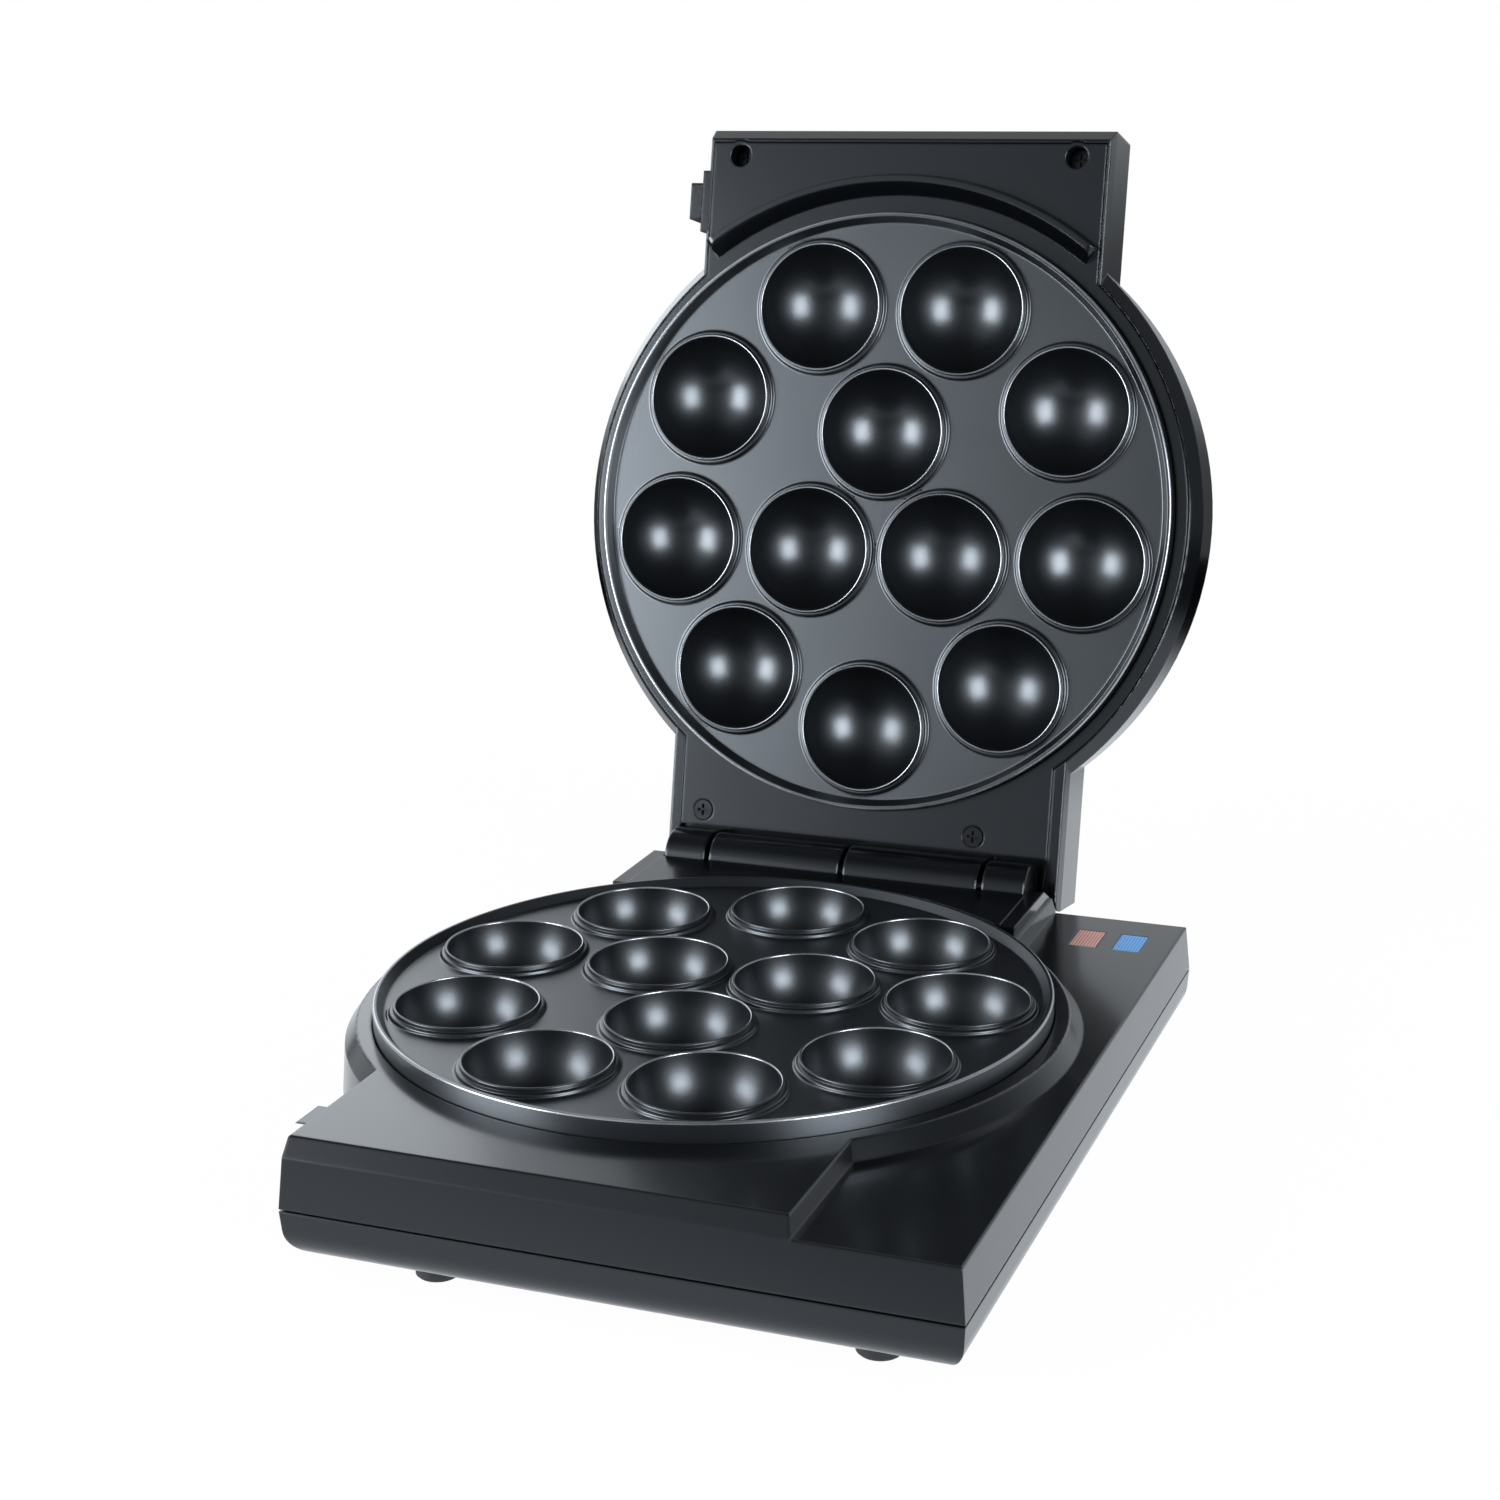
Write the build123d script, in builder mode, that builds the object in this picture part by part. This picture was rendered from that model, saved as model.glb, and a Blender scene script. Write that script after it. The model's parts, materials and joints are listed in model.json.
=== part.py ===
"""Cake pop maker: a countertop cooker whose hinged lid meets its base in two plates of round cavities.

Every piece is drawn with the lid shut. Lid pieces mirror the base about the parting plane, and are swung
open about the hinge pin when they are written, because the lid stands open at rest.
"""

import os
from math import acos, asin, cos, degrees, radians, sin, sqrt, tan

from build123d import *

os.makedirs("parts", exist_ok=True)

# ---------------------------------------------------------------- driving dimensions, in millimetres
# z = 0 is the flat underside of the tray, x = y = 0 is the plates' centre, and the handle side faces -Y.

PARTING_H = 39.0  # height of the plane where the two plates meet
FACE_GAP = 5.8  # parting plane to the base's deck, and to the lid's face
FACET_H = 4.8  # height of the slope round the deck and round the lid's face
FACET_RUN = 3.4  # width of that slope on the drum and on the front
STEP_RUN = 1.4  # width of that slope on the sides of the deck
SEAM_H = 14.2  # height of the seam between tray and housing
SEAM_GAP = 0.6  # open groove along the seam
LID_DEPTH = 33.0  # parting plane to the lid's top
WALL = 2.5  # wall of every moulded shell
LINER_GAP = 0.3  # gap between the lid's shell and its liner

DRUM_RIM = 4.7  # plate's edge to the edge of the round part of the deck, and of the lid's face
BLOCK_HALF = 67.5  # half the width of the deck and of the handle block
FRONT_RUN = 19.3  # round part's edge to the front of the deck
PANEL_RUN = 9.6  # round part's edge to the right edge of the control panel
REAR_RUN = 18.8  # round part's edge to the rear wall
WALL_RUN = 1.2  # how far the walls lean out from the panel down to the seam
TRAY_RUN = 1.0  # how far the tray's walls lean in again below the seam
TRAY_ROUND = 9.0  # rounding of the tray's bottom edges
EDGE = 0.6  # small rounding along the visible edges

CAVITY_R = 20.0
OUTER_CAVITIES = 9
OUTER_SPACE = 7.88  # between neighbouring cavities of the outer ring
OUTER_START = 90.0
INNER_CAVITIES = 3
INNER_SPACE = 5.38
INNER_START = -90.0
PLATE_MARGIN = 6.5  # outer cavities' edge to the plate's edge
PLATE_PLAY = 0.15  # each plate's rim stays this far from the parting plane
RIM_FLAT = 1.3  # flat top of the plate's rim
RIM_SLOPE = 1.8  # slope from the rim down to the plate's floor
FLOOR_DROP = 2.6  # rim down to the plate's floor
CAST_WALL = 2.5
SKIRT_H = 12.0  # parting plane down to the foot of the plate's skirt
LIP_W = 0.8  # flat lip round each cavity's mouth
LIP_H = 1.3  # its height above the step
STEP_W = 1.1  # width of the step round the lip

WELL_GAP = 0.5  # plate's skirt to the wall of its well
LEDGE_IN = 3.0  # how far the ledge under the skirt reaches inwards of it
LEDGE_H = 2.5
PLATE_SCREWS = 3
PLATE_SCREW_IN = 10.5  # plate's edge to its screws
PLATE_BOSS_R = 4.5
SCREW_R = 1.7
SCREW_HEAD_R = 3.2
SCREW_HEAD_H = 2.2

ELEMENT_TUBE_R = 3.25
ELEMENT_DEPTH = 15.5  # parting plane to the element's centre line
ELEMENT_GAP = 0.1
ELEMENT_LEG_X = 7.0
LEG_DEPTH = 29.0
RIB_W = 10.0  # cast rib that seats the element
PAN_DEPTH = 25.5  # parting plane to the floor of the reflector
PAN_SLOPE = 12.5  # plate's edge to the edge of the reflector's floor
PAN_SHEET = 0.8
PAN_SCREW_OUT = 0.8  # plate's edge to the reflector's screws
PAN_SCREW_START = -50.0
THERMOSTAT_R = 8.5
THERMOSTAT_DEPTH = 15.0
FUSE_R = 2.0
FUSE_LEN = 12.0
FUSE_ANGLE = -50.0

HINGE_IN = 3.0  # rear wall to the hinge pin
HINGE_DROP = 3.6  # parting plane down to the hinge pin
LID_OPEN = 102.3  # angle of the open lid from shut
PIN_R = 2.0
PIN_CLEAR = 0.05
KNUCKLE_R = 8.7
KNUCKLE_GAP = 1.6
KNUCKLE_PLAY = 0.5  # turning knuckles to the bay round them
HINGE_SIDE = 6.2  # side of the handle block to the end of the row of knuckles
OUTER_KNUCKLE = 14.0
LID_TAIL = 7.0  # hinge pin to the rear end of the shut lid
HEEL_R = 4.0  # rounding of the lid's rear end on the face side
STOP_REACH = 3.0
STOP_GAP = 0.3  # open lid's rear end to the ledge it would rest on
STEP_RISE = 4.2  # raised platform between the plate well and the knuckles

RAIL_W = 5.1  # flat rails on both sides of the platform
RAIL_SIDE = 0.7  # side of the handle block to the rail
RAIL_RUN = 38.0  # hinge pin to the rail's front end
RAIL_RISE = 4.0

LAMP_W = 8.4
LAMP_L = 14.2
LAMP_IN = 13.0  # right edge of the panel to the nearer lamp
LAMP_PITCH = 13.4
LAMP_REAR = 20.3  # rear wall to the lamps' centre line
LENS_FIT = 0.15
LENS_FLANGE = 1.2
LENS_H = 6.0
GLOW_R = 3.2
GLOW_L = 11.0

FOOT_R = 6.0
FOOT_H = 5.0
FOOT_SEAT = 1.0  # depth of the round seat that takes the foot's top
FOOT_PLUG = 2.0
FOOT_LEFT = 34.85  # left wall to the left feet
FOOT_RIGHT = 24.8  # right edge of the panel to the right feet
FOOT_IN = 12.0  # front or rear wall to the feet

POST_R = 4.2
POST_LEFT = 12.0  # left wall to the screw posts
POST_RIGHT = 7.3
POST_IN = 7.5  # front or rear wall to the screw posts
VENT_ROWS = 6
VENT_PITCH = 8.0
VENT_L = 34.0
VENT_W = 3.0
VENT_X = (-62.0, 62.0)

GLAND_IN = 22.8  # right edge of the panel to the cord's gland
GLAND_R = 4.4
GLAND_BORE = 3.2
GLAND_FLANGE = 6.4
TERMINAL_IN = 18.8  # right edge of the panel to the terminal block
TERMINAL_REAR = 58.0
TERMINAL_SIZE = (16.0, 34.0, 13.0)
LEAD_R = 1.1

LATCH_IN = 17.5  # front of the deck to the latch pin, on the left side of the handle
LATCH_OFFSET = 3.0  # latch pin to the middle of the stowed latch
LATCH_W = 12.0
LATCH_T = 3.8
LATCH_GAP = 0.3
LATCH_PIVOT = 9.0  # parting plane up to the latch pin
LATCH_REACH = 21.0  # latch pin to the tip of the hook
LATCH_HEEL = 3.2  # latch pin to the square heel, flush with the lid's face
LATCH_PIN_R = 1.5
LATCH_STOP = 2.4  # thickness of the stop beside the stowed latch
LATCH_BOSS_L = 20.0
LATCH_BOSS_OUT = 2.2
CATCH_R = 18.0  # latch pin to the lower side of the catch, which is round about the pin
CATCH_T = 2.0
CATCH_OUT = 3.8
CATCH_HALF = 6.5

HANDLE_SCREW_SIDE = 10.7  # side of the handle block to its screws
HANDLE_SCREW_IN = 5.5
HANDLE_HOLE_R = 3.6
HANDLE_HOLE_H = 8.4  # depth of the screw seats in the handle
HINGE_SCREW_LEFT = 11.9  # sides of the handle block to the liner's screws by the hinge
HINGE_SCREW_RIGHT = 28.9
HINGE_SCREW_IN = 5.2
LINER_SIDE = 1.3  # lid's edge to the liner's on the handle
LINER_HINGE_SIDE = 4.1
LINER_TAIL = 9.5  # hinge pin to the liner's rear edge
SHELF_DROP = 3.0
STEAM_RIB_OUT = 1.3  # round part's edge to the steam rib
STEAM_RIB_LIP = 2.0
STEAM_RIB_SLOPE = 4.0
STEAM_RIB_SIDE = 1.7  # side of the handle block to the rib's end
STEAM_RIB_ROUND = 2.5

# ---------------------------------------------------------------- derived sizes

OUTER_RING_R = (CAVITY_R + OUTER_SPACE / 2) / sin(radians(180 / OUTER_CAVITIES))
INNER_RING_R = (CAVITY_R + INNER_SPACE / 2) / sin(radians(180 / INNER_CAVITIES))
PLATE_R = OUTER_RING_R + CAVITY_R + PLATE_MARGIN
ELEMENT_R = (OUTER_RING_R + INNER_RING_R) / 2
PLATE_SCREW_POS = PLATE_R - PLATE_SCREW_IN
PAN_FLOOR_R = PLATE_R - PAN_SLOPE
PAN_SCREW_POS = PLATE_R + PAN_SCREW_OUT
DRUM_R = PLATE_R + DRUM_RIM
BLOCK_FRONT = DRUM_R + FRONT_RUN
PANEL_RIGHT = DRUM_R + PANEL_RUN
SLAB_REAR = DRUM_R + REAR_RUN
DECK_H = PARTING_H - FACE_GAP
PANEL_H = DECK_H - FACET_H
FACE_H = PARTING_H + FACE_GAP
BROW_H = FACE_H + FACET_H
LID_TOP = PARTING_H + LID_DEPTH
PLATE_TOP = PARTING_H - PLATE_PLAY
WELL_R = PLATE_R + WELL_GAP
LEDGE_TOP = PARTING_H - SKIRT_H
LEDGE_FOOT = LEDGE_TOP - LEDGE_H
DRUM_LOW_R = DRUM_R + FACET_RUN
SLAB_LEFT = -BLOCK_HALF - STEP_RUN / 4
SLAB_FRONT = -BLOCK_FRONT - FACET_RUN
PANEL_RECT = (SLAB_LEFT, PANEL_RIGHT, SLAB_FRONT, SLAB_REAR)
HINGE_Y = SLAB_REAR - HINGE_IN
HINGE_H = PARTING_H - HINGE_DROP
HINGE_AXIS = Axis((0, HINGE_Y, HINGE_H), (1, 0, 0))
HINGE_HALF = BLOCK_HALF - HINGE_SIDE
LID_REAR = HINGE_Y + LID_TAIL
BAY_FRONT = HINGE_Y - KNUCKLE_R - KNUCKLE_PLAY
BAY_FLOOR = HINGE_H - KNUCKLE_R - KNUCKLE_PLAY
LINER_REAR = HINGE_Y - LINER_TAIL
LINER_HINGE_HALF = BLOCK_HALF - LINER_HINGE_SIDE
HINGE_SCREW_X = (HINGE_SCREW_LEFT - BLOCK_HALF, BLOCK_HALF - HINGE_SCREW_RIGHT)
HINGE_SCREW_Y = LINER_REAR - HINGE_SCREW_IN
HANDLE_SCREW_X = BLOCK_HALF - HANDLE_SCREW_SIDE
HANDLE_SCREW_Y = HANDLE_SCREW_IN - BLOCK_FRONT
LATCH_Y = LATCH_IN - BLOCK_FRONT
LAMP_X = (PANEL_RIGHT - LAMP_IN - LAMP_PITCH, PANEL_RIGHT - LAMP_IN)
LAMP_Y = SLAB_REAR - LAMP_REAR
FOOT_X = (SLAB_LEFT + FOOT_LEFT, PANEL_RIGHT - FOOT_RIGHT)
FOOT_Y = {"front": FOOT_IN - BLOCK_FRONT, "rear": SLAB_REAR - FOOT_IN}
POSTS = [
    (x, y)
    for x in (SLAB_LEFT + POST_LEFT, PANEL_RIGHT - POST_RIGHT)
    for y in (POST_IN - BLOCK_FRONT, SLAB_REAR - POST_IN)
]
GLAND_X = PANEL_RIGHT - GLAND_IN
GLAND_H = (SEAM_H + PANEL_H) / 2
TERMINAL_X = PANEL_RIGHT - TERMINAL_IN
TERMINAL_Y = SLAB_REAR - TERMINAL_REAR
HANDLE_SEAT = FACE_H + HANDLE_HOLE_H
HINGE_SEAT = FACE_H + SCREW_HEAD_H - EDGE / 2


# ---------------------------------------------------------------- shared shapes


def grown(rect, run):
    """A rectangle (x low, x high, y low, y high) with every side moved out by run."""
    return (rect[0] - run, rect[1] + run, rect[2] - run, rect[3] + run)


def rectangle_at(height, rect):
    """Sketch of a rectangle, given by its sides, at a height."""
    x_low, x_high, y_low, y_high = rect
    with BuildSketch(Plane.XY.offset(height)) as outline:
        with Locations(((x_low + x_high) / 2, (y_low + y_high) / 2)):
            Rectangle(x_high - x_low, y_high - y_low)
    return outline.sketch


def circle_at(height, radius, x=0.0, y=0.0):
    """Sketch of a circle at a height."""
    with BuildSketch(Plane.XY.offset(height)) as outline:
        with Locations((x, y)):
            Circle(radius)
    return outline.sketch


def tapered_block(low, low_rect, high, high_rect, mode=Mode.ADD):
    """Block whose rectangle changes from one height to the next."""
    loft([rectangle_at(low, low_rect), rectangle_at(high, high_rect)], mode=mode)


def tapered_drum(low, low_r, high, high_r, mode=Mode.ADD):
    """Round drum whose radius changes from one height to the next."""
    loft([circle_at(low, low_r), circle_at(high, high_r)], mode=mode)


def upright(low, high, radius, x=0.0, y=0.0, mode=Mode.ADD):
    """Round post or hole between two heights."""
    extrude(circle_at(low, radius, x, y), amount=high - low, mode=mode)


def block(x_low, x_high, y_low, y_high, low, high, mode=Mode.ADD):
    """Plain block, given by its sides."""
    extrude(rectangle_at(low, (x_low, x_high, y_low, y_high)), amount=high - low, mode=mode)


def cross_tube(radius, x_low, x_high, y, z, mode=Mode.ADD):
    """Round bar or hole along X."""
    with BuildSketch(Plane.YZ.offset(x_low)) as outline:
        with Locations((y, z)):
            Circle(radius)
    extrude(outline.sketch, amount=x_high - x_low, mode=mode)


def case_outline(height, run):
    """Sketch of the case seen from above, slab and drum, with its walls moved out by run."""
    x_low, x_high, y_low, y_high = grown(PANEL_RECT, run)
    with BuildSketch(Plane.XY.offset(height)) as outline:
        with Locations(((x_low + x_high) / 2, (y_low + y_high) / 2)):
            Rectangle(x_high - x_low, y_high - y_low)
        Circle(DRUM_LOW_R + run)
    return outline.sketch


def softened(sections, top_side):
    """Loft between two sketches, with the edges of its top or bottom face rounded."""
    with BuildPart() as form:
        loft(sections)
        face = form.faces().sort_by(Axis.Z)[-1 if top_side else 0]
        fillet(face.edges(), radius=EDGE)
    return form.part


def knuckle(low, high):
    """Round bar about the hinge pin between two places along X, with soft ends."""
    with BuildPart() as bar:
        cross_tube(KNUCKLE_R, low, high, HINGE_Y, HINGE_H)
        fillet(bar.edges().filter_by(GeomType.CIRCLE), radius=EDGE)
    return bar.part


def mirrored(piece):
    """The lid's twin of a base piece, on the other side of the parting plane."""
    return mirror(piece, about=Plane.XY.offset(PARTING_H))


def pan_head_screw(head_side, seat, reach, x, y):
    """Cross-head screw on an upright axis: its head stands off the seat, its shank goes the other way."""
    up = 1 if head_side > 0 else -1
    with BuildPart() as screw:
        upright(seat, seat + up * SCREW_HEAD_H, SCREW_HEAD_R, x, y)
        upright(seat, seat - up * reach, SCREW_R - PIN_CLEAR, x, y)
        with BuildSketch(Plane.XY.offset(seat + up * SCREW_HEAD_H)) as cross:
            with Locations((x, y)):
                Rectangle(SCREW_HEAD_R * 1.2, SCREW_HEAD_R / 4)
                Rectangle(SCREW_HEAD_R / 4, SCREW_HEAD_R * 1.2)
        extrude(cross.sketch, amount=-up * SCREW_HEAD_H / 2, mode=Mode.SUBTRACT)
    return screw.part


def ring_places(radius, count, start):
    """Points on a circle about the plates' centre; start is in degrees from the +X side."""
    turn = 360 / count
    angles = [radians(start + turn * step) for step in range(count)]
    return [(radius * cos(angle), radius * sin(angle)) for angle in angles]


# ---------------------------------------------------------------- cooking plates

cavity_places = ring_places(OUTER_RING_R, OUTER_CAVITIES, OUTER_START) + ring_places(
    INNER_RING_R, INNER_CAVITIES, INNER_START
)
plate_screw_places = ring_places(PLATE_SCREW_POS, PLATE_SCREWS, INNER_START)
pan_screw_places = ring_places(PAN_SCREW_POS, PLATE_SCREWS, PAN_SCREW_START)

floor_h = PLATE_TOP - FLOOR_DROP
under_floor_h = floor_h - CAST_WALL
cup_outer_r = CAVITY_R + CAST_WALL
cup_start_h = floor_h - CAST_WALL / 2
cup_start_r = sqrt(cup_outer_r**2 - (PLATE_TOP - cup_start_h) ** 2)
cup_mid_angle = (acos(cup_start_r / cup_outer_r) + radians(90)) / 2
lip_r = CAVITY_R + LIP_W
step_r = lip_r + STEP_W

with BuildPart() as cup_form:
    with BuildSketch(Plane.XZ) as cup_profile:
        with BuildLine():
            Polyline(
                (0, PLATE_TOP - cup_outer_r),
                (0, PLATE_TOP),
                (lip_r, PLATE_TOP),
                (lip_r, PLATE_TOP - LIP_H),
                (step_r, PLATE_TOP - LIP_H),
                (step_r, floor_h),
                (cup_start_r, cup_start_h),
            )
            ThreePointArc(
                (cup_start_r, cup_start_h),
                (cup_outer_r * cos(cup_mid_angle), PLATE_TOP - cup_outer_r * sin(cup_mid_angle)),
                (0, PLATE_TOP - cup_outer_r),
            )
        make_face()
    revolve(cup_profile.sketch, axis=Axis.Z)

with BuildPart() as lower_plate:
    with BuildSketch(Plane.XZ) as plate_profile:
        with BuildLine():
            Polyline(
                (0, floor_h),
                (PLATE_R - RIM_FLAT - RIM_SLOPE, floor_h),
                (PLATE_R - RIM_FLAT, PLATE_TOP),
                (PLATE_R - EDGE, PLATE_TOP),
                (PLATE_R, PLATE_TOP - EDGE),
                (PLATE_R, LEDGE_TOP),
                (PLATE_R - CAST_WALL, LEDGE_TOP),
                (PLATE_R - CAST_WALL, under_floor_h),
                (0, under_floor_h),
                close=True,
            )
        make_face()
    revolve(plate_profile.sketch, axis=Axis.Z)
    with BuildSketch(Plane.XY.offset(PARTING_H - ELEMENT_DEPTH)) as element_rib:
        Circle(ELEMENT_R + RIB_W / 2)
        Circle(ELEMENT_R - RIB_W / 2, mode=Mode.SUBTRACT)
    extrude(element_rib.sketch, amount=under_floor_h - PARTING_H + ELEMENT_DEPTH)
    upright(PARTING_H - THERMOSTAT_DEPTH, under_floor_h, THERMOSTAT_R * 0.6)
    for boss_x, boss_y in plate_screw_places:
        upright(LEDGE_TOP, under_floor_h, PLATE_BOSS_R, boss_x, boss_y)
    with Locations(*cavity_places):
        add(cup_form.part)
    with BuildSketch(Plane.XZ) as groove_profile:
        with Locations((ELEMENT_R, PARTING_H - ELEMENT_DEPTH)):
            Circle(ELEMENT_TUBE_R + ELEMENT_GAP)
    revolve(groove_profile.sketch, axis=Axis.Z, mode=Mode.SUBTRACT)
    with Locations(*[(x, y, PLATE_TOP) for x, y in cavity_places]):
        Sphere(CAVITY_R, mode=Mode.SUBTRACT)
    for boss_x, boss_y in plate_screw_places:
        upright(LEDGE_TOP, LEDGE_TOP + PLATE_BOSS_R * 1.5, SCREW_R, boss_x, boss_y, mode=Mode.SUBTRACT)

upper_plate = mirrored(lower_plate.part)

# ---------------------------------------------------------------- heating: element, reflector, controls

pan_floor_h = PARTING_H - PAN_DEPTH
element_h = PARTING_H - ELEMENT_DEPTH
leg_y = sqrt(ELEMENT_R**2 - ELEMENT_LEG_X**2)
leg_angle = degrees(acos(ELEMENT_LEG_X / ELEMENT_R))

with BuildPart() as lower_element:
    ring_start = Plane.XZ.rotated((0, 0, 180 - leg_angle))
    with BuildSketch(ring_start) as tube_profile:
        with Locations((ELEMENT_R, element_h)):
            Circle(ELEMENT_TUBE_R)
    revolve(tube_profile.sketch, axis=Axis.Z, revolution_arc=360 - 2 * (90 - leg_angle))
    for leg_x in (-ELEMENT_LEG_X, ELEMENT_LEG_X):
        upright(PARTING_H - LEG_DEPTH, element_h, ELEMENT_TUBE_R, leg_x, leg_y)
        with Locations((leg_x, leg_y, element_h)):
            Sphere(ELEMENT_TUBE_R)

with BuildPart() as lower_reflector:
    with BuildSketch(Plane.XZ) as pan_profile:
        with BuildLine():
            Polyline(
                (0, pan_floor_h),
                (PAN_FLOOR_R, pan_floor_h),
                (PLATE_R - CAST_WALL - PAN_SHEET, LEDGE_FOOT),
                (WELL_R + WALL, LEDGE_FOOT),
                (WELL_R + WALL, LEDGE_FOOT - PAN_SHEET),
                (PLATE_R - CAST_WALL, LEDGE_FOOT - PAN_SHEET),
                (PAN_FLOOR_R + PAN_SHEET, pan_floor_h - PAN_SHEET),
                (0, pan_floor_h - PAN_SHEET),
                close=True,
            )
        make_face()
    revolve(pan_profile.sketch, axis=Axis.Z)
    for leg_x in (-ELEMENT_LEG_X, ELEMENT_LEG_X):
        upright(0, element_h, ELEMENT_TUBE_R + LINER_GAP, leg_x, leg_y, mode=Mode.SUBTRACT)
    for screw_x, screw_y in pan_screw_places:
        upright(0, element_h + WALL, SCREW_R, screw_x, screw_y, mode=Mode.SUBTRACT)

with BuildPart() as lower_thermostat:
    thermostat_top = PARTING_H - THERMOSTAT_DEPTH
    upright(thermostat_top - 3.5, thermostat_top, THERMOSTAT_R)
    upright(thermostat_top - 8.5, thermostat_top - 3.5, THERMOSTAT_R * 0.8)
    for tab_x in (-4.0, 4.0):
        block(tab_x - 0.4, tab_x + 0.4, -2.5, 2.5, pan_floor_h, thermostat_top - 8.5)

fuse_x = ELEMENT_R * cos(radians(FUSE_ANGLE))
fuse_y = ELEMENT_R * sin(radians(FUSE_ANGLE))
with BuildPart() as lower_fuse:
    cross_tube(FUSE_R, fuse_x - FUSE_LEN / 2, fuse_x + FUSE_LEN / 2, fuse_y, pan_floor_h + FUSE_R)
    cross_tube(FUSE_R / 4, fuse_x - FUSE_LEN, fuse_x + FUSE_LEN, fuse_y, pan_floor_h + FUSE_R)

lower_plate_screws = Compound(
    [pan_head_screw(-1, LEDGE_FOOT, LEDGE_H + PLATE_BOSS_R, x, y) for x, y in plate_screw_places]
)
lower_reflector_screws = Compound(
    [
        pan_head_screw(-1, LEDGE_FOOT - PAN_SHEET, LEDGE_H - EDGE + PAN_SHEET, x, y)
        for x, y in pan_screw_places
    ]
)

# ---------------------------------------------------------------- plate well, shared by housing and liner


def plate_well():
    """Well wall, ledge and screw lugs that carry the lower plate; returns the ring as one solid."""
    with BuildPart() as well:
        with BuildSketch(Plane.XZ) as well_profile:
            with BuildLine():
                Polyline(
                    (WELL_R, DECK_H),
                    (WELL_R + WALL, DECK_H),
                    (WELL_R + WALL, LEDGE_FOOT),
                    (PLATE_R - LEDGE_IN, LEDGE_FOOT),
                    (PLATE_R - LEDGE_IN, LEDGE_TOP),
                    (WELL_R, LEDGE_TOP),
                    close=True,
                )
            make_face()
        revolve(well_profile.sketch, axis=Axis.Z)
        with BuildSketch(Plane.XY.offset(LEDGE_FOOT)) as lugs:
            with PolarLocations((PLATE_SCREW_POS + PLATE_R) / 2, PLATE_SCREWS, start_angle=INNER_START):
                Rectangle(PLATE_R - PLATE_SCREW_POS + 2 * PLATE_BOSS_R, 3 * PLATE_BOSS_R)
            Circle(WELL_R + WALL / 2, mode=Mode.INTERSECT)
        extrude(lugs.sketch, amount=LEDGE_H)
        for screw_x, screw_y in plate_screw_places:
            upright(LEDGE_FOOT, LEDGE_TOP, SCREW_R + LINER_GAP, screw_x, screw_y, mode=Mode.SUBTRACT)
        for screw_x, screw_y in pan_screw_places:
            upright(LEDGE_FOOT, LEDGE_TOP - EDGE, SCREW_R, screw_x, screw_y, mode=Mode.SUBTRACT)
    return well.part


well_ring = plate_well()

# ---------------------------------------------------------------- base case: housing

knuckle_split = HINGE_HALF - OUTER_KNUCKLE
base_knuckles = ((-knuckle_split + KNUCKLE_GAP, -KNUCKLE_GAP / 2), (knuckle_split, HINGE_HALF))
lid_knuckles = ((-HINGE_HALF, -knuckle_split), (KNUCKLE_GAP / 2, knuckle_split - KNUCKLE_GAP))
open_angle = radians(LID_OPEN)
heel_y = HINGE_Y + (LID_REAR - HINGE_Y) * cos(open_angle) + (FACE_H - HINGE_H) * sin(open_angle)
heel_h = HINGE_H + (FACE_H - HINGE_H) * cos(open_angle) - (LID_REAR - HINGE_Y) * sin(open_angle) - STOP_GAP
stop_end = heel_y + HEEL_R + STOP_REACH
deck_low = (SLAB_LEFT, BLOCK_HALF + STEP_RUN, SLAB_FRONT, SLAB_REAR)
deck_top = (-BLOCK_HALF, BLOCK_HALF, -BLOCK_FRONT, SLAB_REAR)
seam_foot = SEAM_H + SEAM_GAP / 2
platform_top = DECK_H + STEP_RISE


def roof_over(x, y):
    """Height of the housing's top above a point of the tray."""
    if x > BLOCK_HALF:
        return PANEL_H
    if y > BAY_FRONT:
        return BAY_FLOOR
    return DECK_H


deck_form = softened([rectangle_at(PANEL_H, deck_low), rectangle_at(DECK_H, deck_top)], True)
drum_form = softened([circle_at(PANEL_H, DRUM_LOW_R), circle_at(DECK_H, DRUM_R)], True)
wall_lean = WALL_RUN * WALL / (PANEL_H - seam_foot)

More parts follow.
